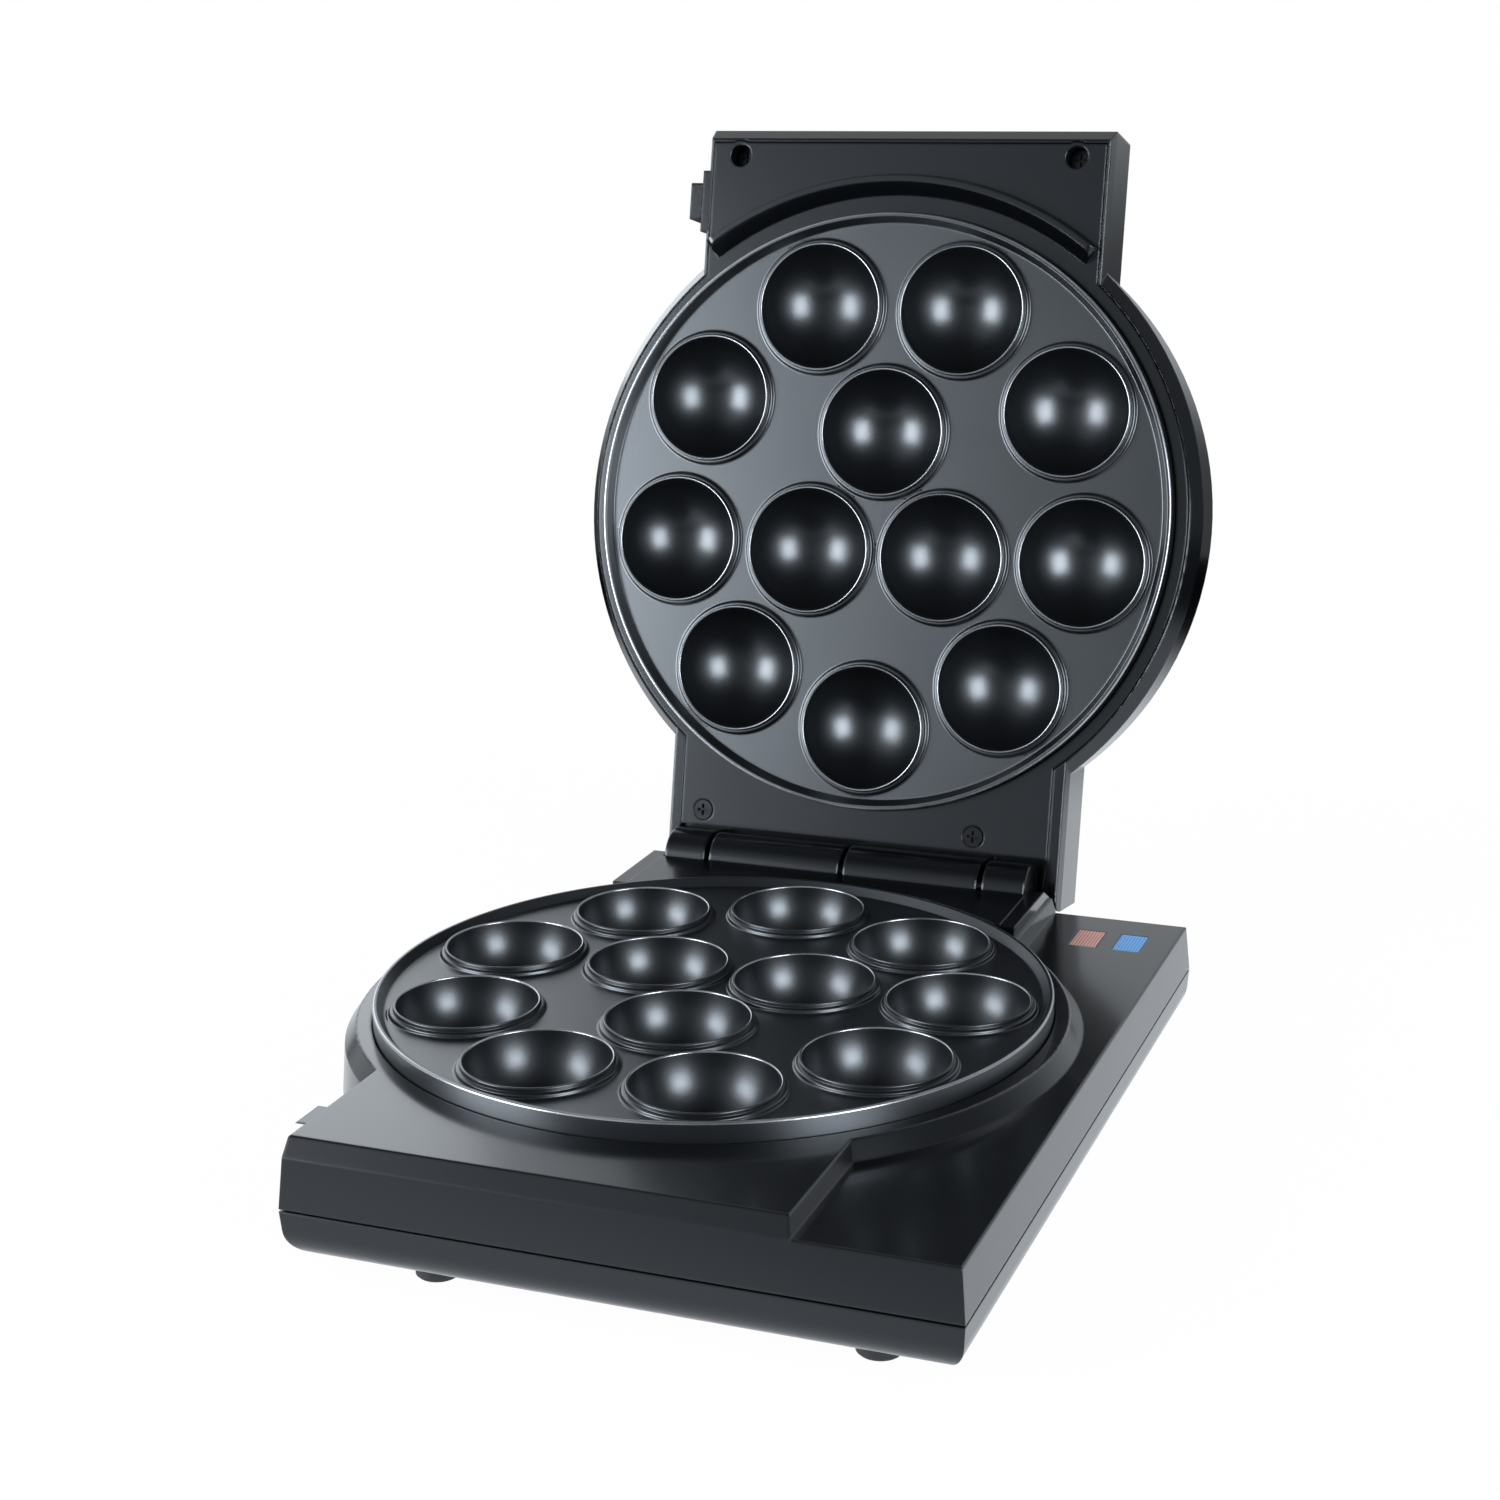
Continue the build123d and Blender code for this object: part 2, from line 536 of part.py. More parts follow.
with BuildPart() as base_housing:
    loft([case_outline(seam_foot, WALL_RUN), case_outline(PANEL_H, 0)])
    panel_rim = base_housing.faces().sort_by(Axis.Z)[-1].edges().filter_by(GeomType.LINE)
    fillet([edge for edge in panel_rim if edge.center().X > 0], radius=EDGE)
    add(deck_form)
    add(drum_form)
    tapered_block(PANEL_H - WALL, grown(deck_low, wall_lean), PANEL_H, deck_low)
    # the hollow under the panel, the deck and the drum
    block(*grown(PANEL_RECT, -WALL), 0, PANEL_H - WALL, mode=Mode.SUBTRACT)
    block(*grown(deck_top, -WALL), 0, DECK_H - WALL, mode=Mode.SUBTRACT)
    upright(0, PANEL_H - WALL, DRUM_LOW_R - WALL, mode=Mode.SUBTRACT)
    tapered_drum(SEAM_H, DRUM_LOW_R - WALL, DECK_H - WALL, DRUM_R - WALL, mode=Mode.SUBTRACT)
    # rebate that takes the tray's lip
    extrude(case_outline(0, WALL_RUN - WALL / 2), amount=seam_foot + WALL, mode=Mode.SUBTRACT)
    # platform between the plate well and the knuckles
    block(-HINGE_HALF - RAIL_SIDE, HINGE_HALF + RAIL_SIDE, HINGE_Y - RAIL_RUN, BAY_FRONT, DECK_H - WALL,
          platform_top)
    upright(DECK_H, platform_top, WELL_R + WALL, mode=Mode.SUBTRACT)
    # plate well
    upright(0, DECK_H, WELL_R, mode=Mode.SUBTRACT)
    add(well_ring)
    # hinge bay: the deck drops behind the platform, open to the rear
    block(-HINGE_HALF - KNUCKLE_GAP - WALL, HINGE_HALF + KNUCKLE_GAP + WALL, BAY_FRONT - WALL, SLAB_REAR,
          BAY_FLOOR - WALL, DECK_H)
    block(-HINGE_HALF - KNUCKLE_GAP, HINGE_HALF + KNUCKLE_GAP, BAY_FRONT, SLAB_REAR + WALL,
          BAY_FLOOR, DECK_H + WALL, mode=Mode.SUBTRACT)
    # rails beside the hinge, sloped down at the rear
    for side in (-1, 1):
        with BuildSketch(Plane.YZ.offset(side * (BLOCK_HALF - RAIL_SIDE))) as rail:
            with BuildLine():
                Polyline(
                    (HINGE_Y - RAIL_RUN, DECK_H + RAIL_RISE),
                    (HINGE_Y - RAIL_RISE, DECK_H + RAIL_RISE),
                    (SLAB_REAR, DECK_H),
                    (SLAB_REAR, DECK_H - WALL),
                    (HINGE_Y - RAIL_RUN, DECK_H - WALL),
                    close=True,
                )
            make_face()
        extrude(rail.sketch, amount=-side * RAIL_W)
    # base's knuckles on their blocks
    for knuckle_low, knuckle_high in base_knuckles:
        add(knuckle(knuckle_low, knuckle_high))
        block(knuckle_low, knuckle_high, HINGE_Y - KNUCKLE_R, SLAB_REAR, BAY_FLOOR, HINGE_H)
        block(knuckle_low, knuckle_high, BAY_FRONT - EDGE, HINGE_Y, BAY_FLOOR, platform_top)
    cross_tube(PIN_R + PIN_CLEAR, -HINGE_HALF, HINGE_HALF + KNUCKLE_GAP, HINGE_Y, HINGE_H, mode=Mode.SUBTRACT)
    # screw posts, down to the tray's
    for post_x, post_y in POSTS:
        upright(SEAM_H, roof_over(post_x, post_y) - WALL, POST_R, post_x, post_y)
        upright(SEAM_H, SEAM_H + SKIRT_H / 2, SCREW_R, post_x, post_y, mode=Mode.SUBTRACT)
    # lamp windows
    for lamp_x in LAMP_X:
        block(lamp_x - LAMP_W / 2, lamp_x + LAMP_W / 2, LAMP_Y - LAMP_L / 2, LAMP_Y + LAMP_L / 2,
              PANEL_H - 2 * WALL, PANEL_H, mode=Mode.SUBTRACT)
    # hole for the cord's gland in the rear wall
    with BuildSketch(Plane.XZ.offset(-SLAB_REAR - 2 * WALL)) as gland_hole:
        with Locations((GLAND_X, GLAND_H)):
            Circle(GLAND_R)
    extrude(gland_hole.sketch, amount=4 * WALL, mode=Mode.SUBTRACT)
    # ledge behind the hinge, just under the rear end of the open lid
    with BuildSketch(Plane.YZ.offset(-BLOCK_HALF / 2)) as stop_profile:
        with BuildLine():
            Polyline(
                (SLAB_REAR - WALL / 2, heel_h),
                (heel_y, heel_h),
                (stop_end, heel_h - (stop_end - heel_y) * tan(open_angle - radians(90))),
                (stop_end, heel_h - 2 * WALL),
                (SLAB_REAR - WALL / 2, SEAM_H + WALL),
                close=True,
            )
        make_face()
    extrude(stop_profile.sketch, amount=BLOCK_HALF)
    # catch on the left wall: flat above, round about the shut latch's pin below
    with BuildSketch(Plane.YZ.offset(-BLOCK_HALF - CATCH_OUT)) as catch_profile:
        with Locations((LATCH_Y, PARTING_H + LATCH_PIVOT)):
            Circle(CATCH_R)
        with Locations((LATCH_Y - LATCH_OFFSET, PARTING_H + LATCH_PIVOT - CATCH_R)):
            Rectangle(2 * CATCH_HALF, 2 * CATCH_T, mode=Mode.INTERSECT)
    extrude(catch_profile.sketch, amount=CATCH_OUT + WALL / 2)

# ---------------------------------------------------------------- base case: tray


def tray_form(inset, low, high, rounding):
    """Solid tray shape, its walls moved in by inset and its bottom edges rounded."""
    with BuildPart() as form:
        lean = TRAY_RUN * (high - low) / SEAM_H
        loft([case_outline(low, WALL_RUN - inset - lean), case_outline(high, WALL_RUN - inset)])
        fillet(form.faces().sort_by(Axis.Z)[0].edges(), radius=rounding)
    return form.part


tray_top = SEAM_H - SEAM_GAP / 2
tray_body = tray_form(0, 0, tray_top, TRAY_ROUND)
tray_hollow = tray_form(WALL, WALL, tray_top + WALL, TRAY_ROUND - WALL)

with BuildPart() as base_tray:
    add(tray_body)
    # lip that stands up inside the housing's wall
    extrude(case_outline(tray_top - WALL, WALL_RUN - WALL / 2 - LINER_GAP), amount=2 * WALL)
    add(tray_hollow, mode=Mode.SUBTRACT)
    extrude(case_outline(tray_top - WALL, WALL_RUN - WALL), amount=4 * WALL, mode=Mode.SUBTRACT)
    for post_x, post_y in POSTS:
        upright(WALL / 2, SEAM_H, POST_R, post_x, post_y)
        upright(0, SEAM_H, SCREW_R + LINER_GAP, post_x, post_y, mode=Mode.SUBTRACT)
        upright(0, 2 * WALL, SCREW_HEAD_R + LINER_GAP, post_x, post_y, mode=Mode.SUBTRACT)
    for foot_x in FOOT_X:
        for foot_y in FOOT_Y.values():
            upright(0, FOOT_SEAT, FOOT_R + LINER_GAP, foot_x, foot_y, mode=Mode.SUBTRACT)
            upright(0, FOOT_PLUG, FOOT_R / 2, foot_x, foot_y, mode=Mode.SUBTRACT)
    for row_x in VENT_X:
        with BuildSketch() as vents:
            with Locations((row_x, 0)):
                with GridLocations(0, VENT_PITCH, 1, VENT_ROWS):
                    SlotOverall(VENT_L, VENT_W)
        extrude(vents.sketch, amount=WALL, mode=Mode.SUBTRACT)

tray_screws = Compound([pan_head_screw(-1, 2 * WALL, SEAM_H - WALL, x, y) for x, y in POSTS])

# ---------------------------------------------------------------- feet, lamps, gland, terminals, leads

feet = {}
for foot_row, foot_y in FOOT_Y.items():
    for foot_side, foot_x in zip(("left", "right"), FOOT_X):
        with BuildPart() as foot:
            upright(-FOOT_H, FOOT_SEAT, FOOT_R, foot_x, foot_y)
            chamfer(foot.faces().sort_by(Axis.Z)[0].edges(), length=EDGE)
            upright(FOOT_SEAT, FOOT_PLUG, FOOT_R / 2, foot_x, foot_y)
        feet[f"foot_{foot_row}_{foot_side}"] = foot.part

lenses = []
glow_lamps = []
for lamp_x in LAMP_X:
    with BuildPart() as lens:
        block(lamp_x - LAMP_W / 2 + LENS_FIT, lamp_x + LAMP_W / 2 - LENS_FIT,
              LAMP_Y - LAMP_L / 2 + LENS_FIT, LAMP_Y + LAMP_L / 2 - LENS_FIT, PANEL_H - LENS_H, PANEL_H)
        block(lamp_x - LAMP_W / 2 - LENS_FLANGE, lamp_x + LAMP_W / 2 + LENS_FLANGE,
              LAMP_Y - LAMP_L / 2 - LENS_FLANGE, LAMP_Y + LAMP_L / 2 + LENS_FLANGE,
              PANEL_H - WALL - LENS_FLANGE, PANEL_H - WALL)
        upright(PANEL_H - LENS_H, PANEL_H - WALL, GLOW_R, lamp_x, LAMP_Y, mode=Mode.SUBTRACT)
    lenses.append(lens.part)
    with BuildPart() as glow_lamp:
        upright(PANEL_H - WALL - GLOW_L, PANEL_H - WALL - 2 * GLOW_R, GLOW_R - LENS_FIT, lamp_x, LAMP_Y)
        upright(PANEL_H - WALL - 2 * GLOW_R, PANEL_H - WALL - GLOW_R, GLOW_R - LENS_FIT, lamp_x, LAMP_Y)
        with Locations((lamp_x, LAMP_Y, PANEL_H - WALL - GLOW_R)):
            Sphere(GLOW_R - LENS_FIT)
    glow_lamps.append(glow_lamp.part)

with BuildPart() as cord_gland:
    gland_rear = Plane.XZ.offset(-SLAB_REAR - WALL_RUN)
    with BuildSketch(gland_rear) as gland_flange:
        with Locations((GLAND_X, GLAND_H)):
            Circle(GLAND_FLANGE)
    extrude(gland_flange.sketch, amount=-WALL)
    with BuildSketch(gland_rear) as gland_neck:
        with Locations((GLAND_X, GLAND_H)):
            Circle(GLAND_R - LENS_FIT)
    extrude(gland_neck.sketch, amount=4 * WALL)
    with BuildSketch(gland_rear.offset(-WALL)) as gland_bore:
        with Locations((GLAND_X, GLAND_H)):
            Circle(GLAND_BORE)
    extrude(gland_bore.sketch, amount=5 * WALL, mode=Mode.SUBTRACT)

terminal_w, terminal_l, terminal_tall = TERMINAL_SIZE
with BuildPart() as terminal_block:
    block(TERMINAL_X - terminal_w / 2, TERMINAL_X + terminal_w / 2, TERMINAL_Y - terminal_l / 2,
          TERMINAL_Y + terminal_l / 2, WALL, WALL + terminal_tall)
    with Locations((TERMINAL_X, TERMINAL_Y, WALL + terminal_tall)):
        with GridLocations(0, terminal_l / 3, 1, 3):
            Hole(SCREW_R, depth=terminal_tall / 2)
    with BuildSketch(Plane.YZ.offset(TERMINAL_X - terminal_w / 2)) as wire_holes:
        with Locations((TERMINAL_Y, WALL + terminal_tall / 3)):
            with GridLocations(terminal_l / 3, 0, 3, 1):
                Circle(LEAD_R + PIN_CLEAR)
    extrude(wire_holes.sketch, amount=terminal_w, mode=Mode.SUBTRACT)

# ---------------------------------------------------------------- hinge pin

with BuildPart() as hinge_pin:
    cross_tube(PIN_R, -HINGE_HALF + EDGE, HINGE_HALF - EDGE, HINGE_Y, HINGE_H)

# ---------------------------------------------------------------- lid: shell

handle_rect = (-BLOCK_HALF, BLOCK_HALF, -BLOCK_FRONT, 0)
lid_face_rect = (-BLOCK_HALF, BLOCK_HALF, -BLOCK_FRONT, LID_REAR)
lid_brow_rect = (-BLOCK_HALF - EDGE, BLOCK_HALF + EDGE, SLAB_FRONT, LID_REAR)
liner_handle = (-BLOCK_HALF + LINER_SIDE, BLOCK_HALF - LINER_SIDE, -BLOCK_FRONT + LINER_SIDE, 0)
liner_hinge = (-LINER_HINGE_HALF, LINER_HINGE_HALF, 0, LINER_REAR)
shelf_h = FACE_H + SHELF_DROP


def liner_outline(height, run):
    """Sketch of the liner: ring, handle cover and hinge cover, moved out by run."""
    with BuildSketch(Plane.XY.offset(height)) as outline:
        Circle(DRUM_R - EDGE + run)
        for rect in (grown(liner_handle, run), grown(liner_hinge, run)):
            x_low, x_high, y_low, y_high = rect
            with Locations(((x_low + x_high) / 2, (y_low + y_high) / 2)):
                Rectangle(x_high - x_low, y_high - y_low)
    return outline.sketch


latch_h = PARTING_H + LATCH_PIVOT
latch_mid = LATCH_Y + LATCH_OFFSET
latch_inner = -BLOCK_HALF - LATCH_BOSS_OUT - LATCH_GAP
latch_outer = latch_inner - LATCH_T

lid_face_form = softened([rectangle_at(FACE_H, lid_face_rect), rectangle_at(BROW_H, lid_brow_rect)], False)
lid_drum_form = softened([circle_at(FACE_H, DRUM_R), circle_at(BROW_H, DRUM_LOW_R)], False)

with BuildPart() as lid_shell:
    tapered_block(BROW_H, lid_brow_rect, LID_TOP, grown(lid_brow_rect, -EDGE))
    tapered_drum(BROW_H, DRUM_LOW_R, LID_TOP, DRUM_LOW_R - WALL_RUN)
    fillet(lid_shell.faces().sort_by(Axis.Z)[-1].edges(), radius=2 * EDGE)
    add(lid_face_form)
    add(lid_drum_form)
    # the hollow
    block(*grown(lid_face_rect, -WALL), FACE_H + 2 * WALL, LID_TOP - WALL, mode=Mode.SUBTRACT)
    upright(FACE_H + WALL, LID_TOP - WALL, DRUM_R - LINER_GAP, mode=Mode.SUBTRACT)
    # round heel
    with BuildSketch(Plane.YZ.offset(-BLOCK_HALF - WALL)) as heel:
        with Locations((LID_REAR, FACE_H)):
            Rectangle(2 * HEEL_R, 2 * HEEL_R)
        with Locations((LID_REAR - HEEL_R, FACE_H + HEEL_R)):
            Circle(HEEL_R, mode=Mode.SUBTRACT)
            Rectangle(2 * HEEL_R, 2 * HEEL_R, align=(Align.MAX, Align.CENTER), mode=Mode.SUBTRACT)
            Rectangle(4 * HEEL_R, 2 * HEEL_R, align=(Align.CENTER, Align.MIN), mode=Mode.SUBTRACT)
    extrude(heel.sketch, amount=2 * (BLOCK_HALF + WALL), mode=Mode.SUBTRACT)
    # trough over the knuckles
    block(-LINER_HINGE_HALF - LINER_GAP, LINER_HINGE_HALF + LINER_GAP, LINER_REAR - WALL, LID_REAR - WALL,
          FACE_H - WALL, FACE_H + 2 * WALL + LINER_GAP, mode=Mode.SUBTRACT)
    # posts for the liner's screws
    for screw_x in (-HANDLE_SCREW_X, HANDLE_SCREW_X):
        upright(FACE_H, HANDLE_SEAT + WALL, HANDLE_HOLE_R + WALL / 2 + LINER_GAP, screw_x, HANDLE_SCREW_Y,
                mode=Mode.SUBTRACT)
        upright(HANDLE_SEAT + WALL, LID_TOP - WALL, POST_R, screw_x, HANDLE_SCREW_Y)
        upright(HANDLE_SEAT, LID_TOP - 2 * WALL, SCREW_R, screw_x, HANDLE_SCREW_Y, mode=Mode.SUBTRACT)
    for screw_x in HINGE_SCREW_X:
        upright(HINGE_SEAT + WALL, LID_TOP - WALL, SCREW_R + EDGE, screw_x, HINGE_SCREW_Y)
        upright(HINGE_SEAT, LID_TOP - 2 * WALL, SCREW_R, screw_x, HINGE_SCREW_Y, mode=Mode.SUBTRACT)
    # raised pad that carries the latch on the left side
    block(-BLOCK_HALF - LATCH_BOSS_OUT, -BLOCK_HALF + WALL, latch_mid - LATCH_BOSS_L / 2,
          latch_mid + LATCH_BOSS_L / 2, FACE_H, FACE_H + LATCH_BOSS_L)
    cross_tube(LATCH_PIN_R, -BLOCK_HALF - LATCH_BOSS_OUT, -BLOCK_HALF + WALL, LATCH_Y, latch_h,
               mode=Mode.SUBTRACT)
    # stop that the stowed latch leans on
    stop_y = latch_mid + LATCH_W / 2 + LATCH_GAP
    block(latch_inner - LATCH_T / 2, -BLOCK_HALF + WALL / 2, stop_y, stop_y + LATCH_STOP,
          latch_h + LATCH_REACH / 2, latch_h + LATCH_REACH / 2 + 2 * LATCH_STOP)
    extrude(liner_outline(FACE_H, LINER_GAP), amount=3 * WALL, mode=Mode.SUBTRACT)

# ---------------------------------------------------------------- lid: liner

rib_inner_r = DRUM_R + STEAM_RIB_OUT
rib_top_r = rib_inner_r + STEAM_RIB_SLOPE
rib_half = degrees(asin((BLOCK_HALF - STEAM_RIB_SIDE) / (rib_top_r + STEAM_RIB_LIP)))

# steam rib: an arc between the ring and the handle cover, sloped towards the plate, with round ends
with BuildPart() as steam_rib:
    with BuildSketch(Plane.XZ) as rib_profile:
        with BuildLine():
            Polyline(
                (rib_inner_r, FACE_H + WALL / 2),
                (rib_inner_r, FACE_H),
                (rib_top_r, PARTING_H + EDGE),
                (rib_top_r + STEAM_RIB_LIP, PARTING_H + EDGE),
                (rib_top_r + STEAM_RIB_LIP + EDGE, FACE_H),
                (rib_top_r + STEAM_RIB_LIP + EDGE, FACE_H + WALL / 2),
                close=True,
            )
        make_face()
    revolve(rib_profile.sketch.rotate(Axis.Z, -90 - rib_half), axis=Axis.Z, revolution_arc=2 * rib_half)
    rib_lip = steam_rib.faces().sort_by(Axis.Z)[0]
    fillet(rib_lip.edges().filter_by(GeomType.LINE), radius=STEAM_RIB_ROUND)

with BuildPart() as lid_liner:
    extrude(liner_outline(FACE_H, 0), amount=WALL)
    # shelf over the knuckles, stepped back from the hinge cover
    block(-LINER_HINGE_HALF, LINER_HINGE_HALF, LINER_REAR - WALL, LID_REAR - WALL - LINER_GAP,
          shelf_h, shelf_h + WALL)
    block(-LINER_HINGE_HALF, LINER_HINGE_HALF, LINER_REAR - WALL, LINER_REAR, FACE_H, shelf_h + WALL)
    upright(FACE_H, FACE_H + WALL, WELL_R, mode=Mode.SUBTRACT)
    add(mirrored(well_ring))
    add(steam_rib.part)
    # screw seats: deep ones in the handle, shallow ones by the hinge
    for screw_x in (-HANDLE_SCREW_X, HANDLE_SCREW_X):
        upright(FACE_H, HANDLE_SEAT + WALL, HANDLE_HOLE_R + WALL / 2, screw_x, HANDLE_SCREW_Y)
        upright(FACE_H, HANDLE_SEAT, HANDLE_HOLE_R, screw_x, HANDLE_SCREW_Y, mode=Mode.SUBTRACT)
        upright(FACE_H, HANDLE_SEAT + WALL, SCREW_R + LINER_GAP, screw_x, HANDLE_SCREW_Y, mode=Mode.SUBTRACT)
    for screw_x in HINGE_SCREW_X:
        upright(FACE_H, HINGE_SEAT + WALL, SCREW_HEAD_R + EDGE, screw_x, HINGE_SCREW_Y)
        upright(FACE_H, HINGE_SEAT, SCREW_HEAD_R + LINER_GAP, screw_x, HINGE_SCREW_Y, mode=Mode.SUBTRACT)
        upright(FACE_H, HINGE_SEAT + WALL, SCREW_R + LINER_GAP, screw_x, HINGE_SCREW_Y, mode=Mode.SUBTRACT)
    # lid's knuckles on their webs
    for knuckle_low, knuckle_high in lid_knuckles:
        add(knuckle(knuckle_low, knuckle_high))
        block(knuckle_low, knuckle_high, HINGE_Y - KNUCKLE_R, HINGE_Y, HINGE_H, shelf_h)
    cross_tube(PIN_R + PIN_CLEAR, -HINGE_HALF, HINGE_HALF, HINGE_Y, HINGE_H, mode=Mode.SUBTRACT)

handle_screws = Compound(
    [pan_head_screw(-1, HANDLE_SEAT, SKIRT_H, x, HANDLE_SCREW_Y) for x in (-HANDLE_SCREW_X, HANDLE_SCREW_X)]
)
hinge_screws = Compound([pan_head_screw(-1, HINGE_SEAT, SKIRT_H, x, HINGE_SCREW_Y) for x in HINGE_SCREW_X])

# ---------------------------------------------------------------- swivel latch, drawn stowed

with BuildPart() as latch:
    block(latch_outer, latch_inner, latch_mid - LATCH_W / 2, latch_mid + LATCH_W / 2,
          latch_h - LATCH_HEEL, latch_h + LATCH_REACH)
    fillet(latch.edges().filter_by(Axis.X), radius=EDGE)
    # round groove that passes outside the catch and leaves a hook at the tip
    with BuildSketch(Plane.YZ.offset(latch_inner)) as hook_groove:
        with Locations((LATCH_Y, latch_h)):
            Circle(CATCH_R + LATCH_GAP)
            Circle(CATCH_R - CATCH_T - LATCH_GAP, mode=Mode.SUBTRACT)
    groove_cut = CATCH_OUT - LATCH_BOSS_OUT
    extrude(hook_groove.sketch, amount=-groove_cut, mode=Mode.SUBTRACT)
    cross_tube(LATCH_PIN_R + PIN_CLEAR, latch_outer, latch_inner, LATCH_Y, latch_h, mode=Mode.SUBTRACT)

with BuildPart() as latch_pin:
    cross_tube(LATCH_PIN_R, latch_outer + EDGE, -BLOCK_HALF + EDGE, LATCH_Y, latch_h)

# ---------------------------------------------------------------- writing the pieces


def save(piece, name, swing=0.0):
    """Write one piece under its own name; lid pieces are swung open about the hinge pin first."""
    placed = piece.rotate(HINGE_AXIS, swing)
    placed.label = name
    export_step(placed, f"parts/{name}.step")


base_pieces = {
    "base_housing": base_housing.part,
    "base_tray": base_tray.part,
    "lower_plate": lower_plate.part,
    "lower_element": lower_element.part,
    "lower_reflector": lower_reflector.part,
    "lower_thermostat": lower_thermostat.part,
    "lower_fuse": lower_fuse.part,
    "lower_plate_screws": lower_plate_screws,
    "lower_reflector_screws": lower_reflector_screws,
    "tray_screws": tray_screws,
    "heating_lamp_lens": lenses[0],
    "ready_lamp_lens": lenses[1],
    "heating_lamp": glow_lamps[0],
    "ready_lamp": glow_lamps[1],
    "cord_gland": cord_gland.part,
    "terminal_block": terminal_block.part,
    "hinge_pin": hinge_pin.part,
    **feet,
}
lid_pieces = {
    "lid_shell": lid_shell.part,
    "lid_liner": lid_liner.part,
    "upper_plate": upper_plate,
    "upper_element": mirrored(lower_element.part),
    "upper_reflector": mirrored(lower_reflector.part),
    "upper_thermostat": mirrored(lower_thermostat.part),
    "upper_fuse": mirrored(lower_fuse.part),
    "upper_plate_screws": mirrored(lower_plate_screws),
    "upper_reflector_screws": mirrored(lower_reflector_screws),
    "handle_screws": handle_screws,
    "hinge_screws": hinge_screws,
    "latch": latch.part,
    "latch_pin": latch_pin.part,
}
for piece_name, piece in base_pieces.items():
    save(piece, piece_name)
for piece_name, piece in lid_pieces.items():
    save(piece, piece_name, swing=-LID_OPEN)
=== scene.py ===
"""Looks of a cake pop maker: cast plates, cord gland, finishes of the solids, floor, light and camera.

Shapes are worked out in millimetres; settings, meshes and the stage are in metres. The upper plate is worked
out with the lid shut, mirrored from the lower one, and swung open about the hinge.
"""

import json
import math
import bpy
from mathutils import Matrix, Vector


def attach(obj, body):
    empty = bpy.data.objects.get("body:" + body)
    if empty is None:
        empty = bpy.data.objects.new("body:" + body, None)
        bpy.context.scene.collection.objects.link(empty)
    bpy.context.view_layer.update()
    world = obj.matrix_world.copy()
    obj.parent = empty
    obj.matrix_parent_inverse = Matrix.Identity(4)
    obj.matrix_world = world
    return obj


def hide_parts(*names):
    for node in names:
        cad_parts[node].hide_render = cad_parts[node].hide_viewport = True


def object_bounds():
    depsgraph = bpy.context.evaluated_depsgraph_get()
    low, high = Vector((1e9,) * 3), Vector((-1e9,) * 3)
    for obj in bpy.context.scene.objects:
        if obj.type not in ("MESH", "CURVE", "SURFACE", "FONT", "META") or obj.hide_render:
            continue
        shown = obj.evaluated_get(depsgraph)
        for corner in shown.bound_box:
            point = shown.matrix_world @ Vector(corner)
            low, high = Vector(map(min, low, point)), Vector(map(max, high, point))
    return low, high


bl_info = {
    "name": "Cake pop maker looks",
    "version": (1, 0, 0),
    "blender": (4, 5, 0),
    "location": "View3D > Sidebar > Cake Pops",
    "description": "Dresses a hinged cake pop maker in cast plates, moulded plastic and studio light",
    "category": "Object",
}

import bmesh
import bpy
import numpy as np
from bpy.props import FloatProperty, FloatVectorProperty, IntProperty, PointerProperty
from mathutils import Matrix, Vector
from mathutils.geometry import delaunay_2d_cdt

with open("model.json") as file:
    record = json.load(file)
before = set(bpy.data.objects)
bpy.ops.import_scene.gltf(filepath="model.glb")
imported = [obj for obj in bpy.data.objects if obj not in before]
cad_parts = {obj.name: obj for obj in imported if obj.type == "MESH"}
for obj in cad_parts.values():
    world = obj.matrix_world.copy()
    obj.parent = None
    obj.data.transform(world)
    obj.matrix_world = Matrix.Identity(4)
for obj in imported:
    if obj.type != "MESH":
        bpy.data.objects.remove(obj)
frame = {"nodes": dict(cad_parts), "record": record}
cad_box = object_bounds()
slot_of = {entry["node"]: entry["material_slot"] for entry in frame["record"]["subparts"]}

MM = 0.001

# sizes that the solids share, in millimetres
PARTING_H = 39.0
PLATE_PLAY = 0.15  # each plate's face to the parting
PLATE_TOP = PARTING_H - PLATE_PLAY
PLATE_R = 96.5
PLATE_SKIRT_R = 94.0
PLATE_FOOT = 27.0
FLOOR_DROP = 2.6  # the plate's face to the floor between its cavities
CAST_WALL = 2.5
CAVITY_R = 20.0
OUTER_RING = (9, 70.0, 90.0)  # cavities, distance of their centres from the middle, angle of the first
INNER_RING = (3, 26.2, -90.0)
HINGE_Y = 117.0
HINGE_H = 35.4
LID_OPEN = 102.3  # degrees

# small forms of the cast plates, in millimetres
MOUTH_WALL = 0.9  # upright wall under each mouth
FLAT_MARGIN = 0.4  # flat floor of a cup's own, beyond its last rounding
SHEET_R = 92.4  # edge of the flat floor
RIM_FOOT_R = 93.4
RIM_CREST_R = 95.2
RIM_ROUND = 0.6
BOWL_POINTS = 25  # from a cup's lowest point to its mouth
SHELL_POINTS = 12  # the same on its underside, up to the plate's
ARC_STEPS = 5  # faces across a rounded corner
HOLE_EDGE = 0.999  # share of a hole's radius within which a triangle's middle lies in the hole
CDT_HULL = 0  # kind of triangulation: every triangle inside the points' outline
CDT_GAP = 1e-6  # points nearer than this are one

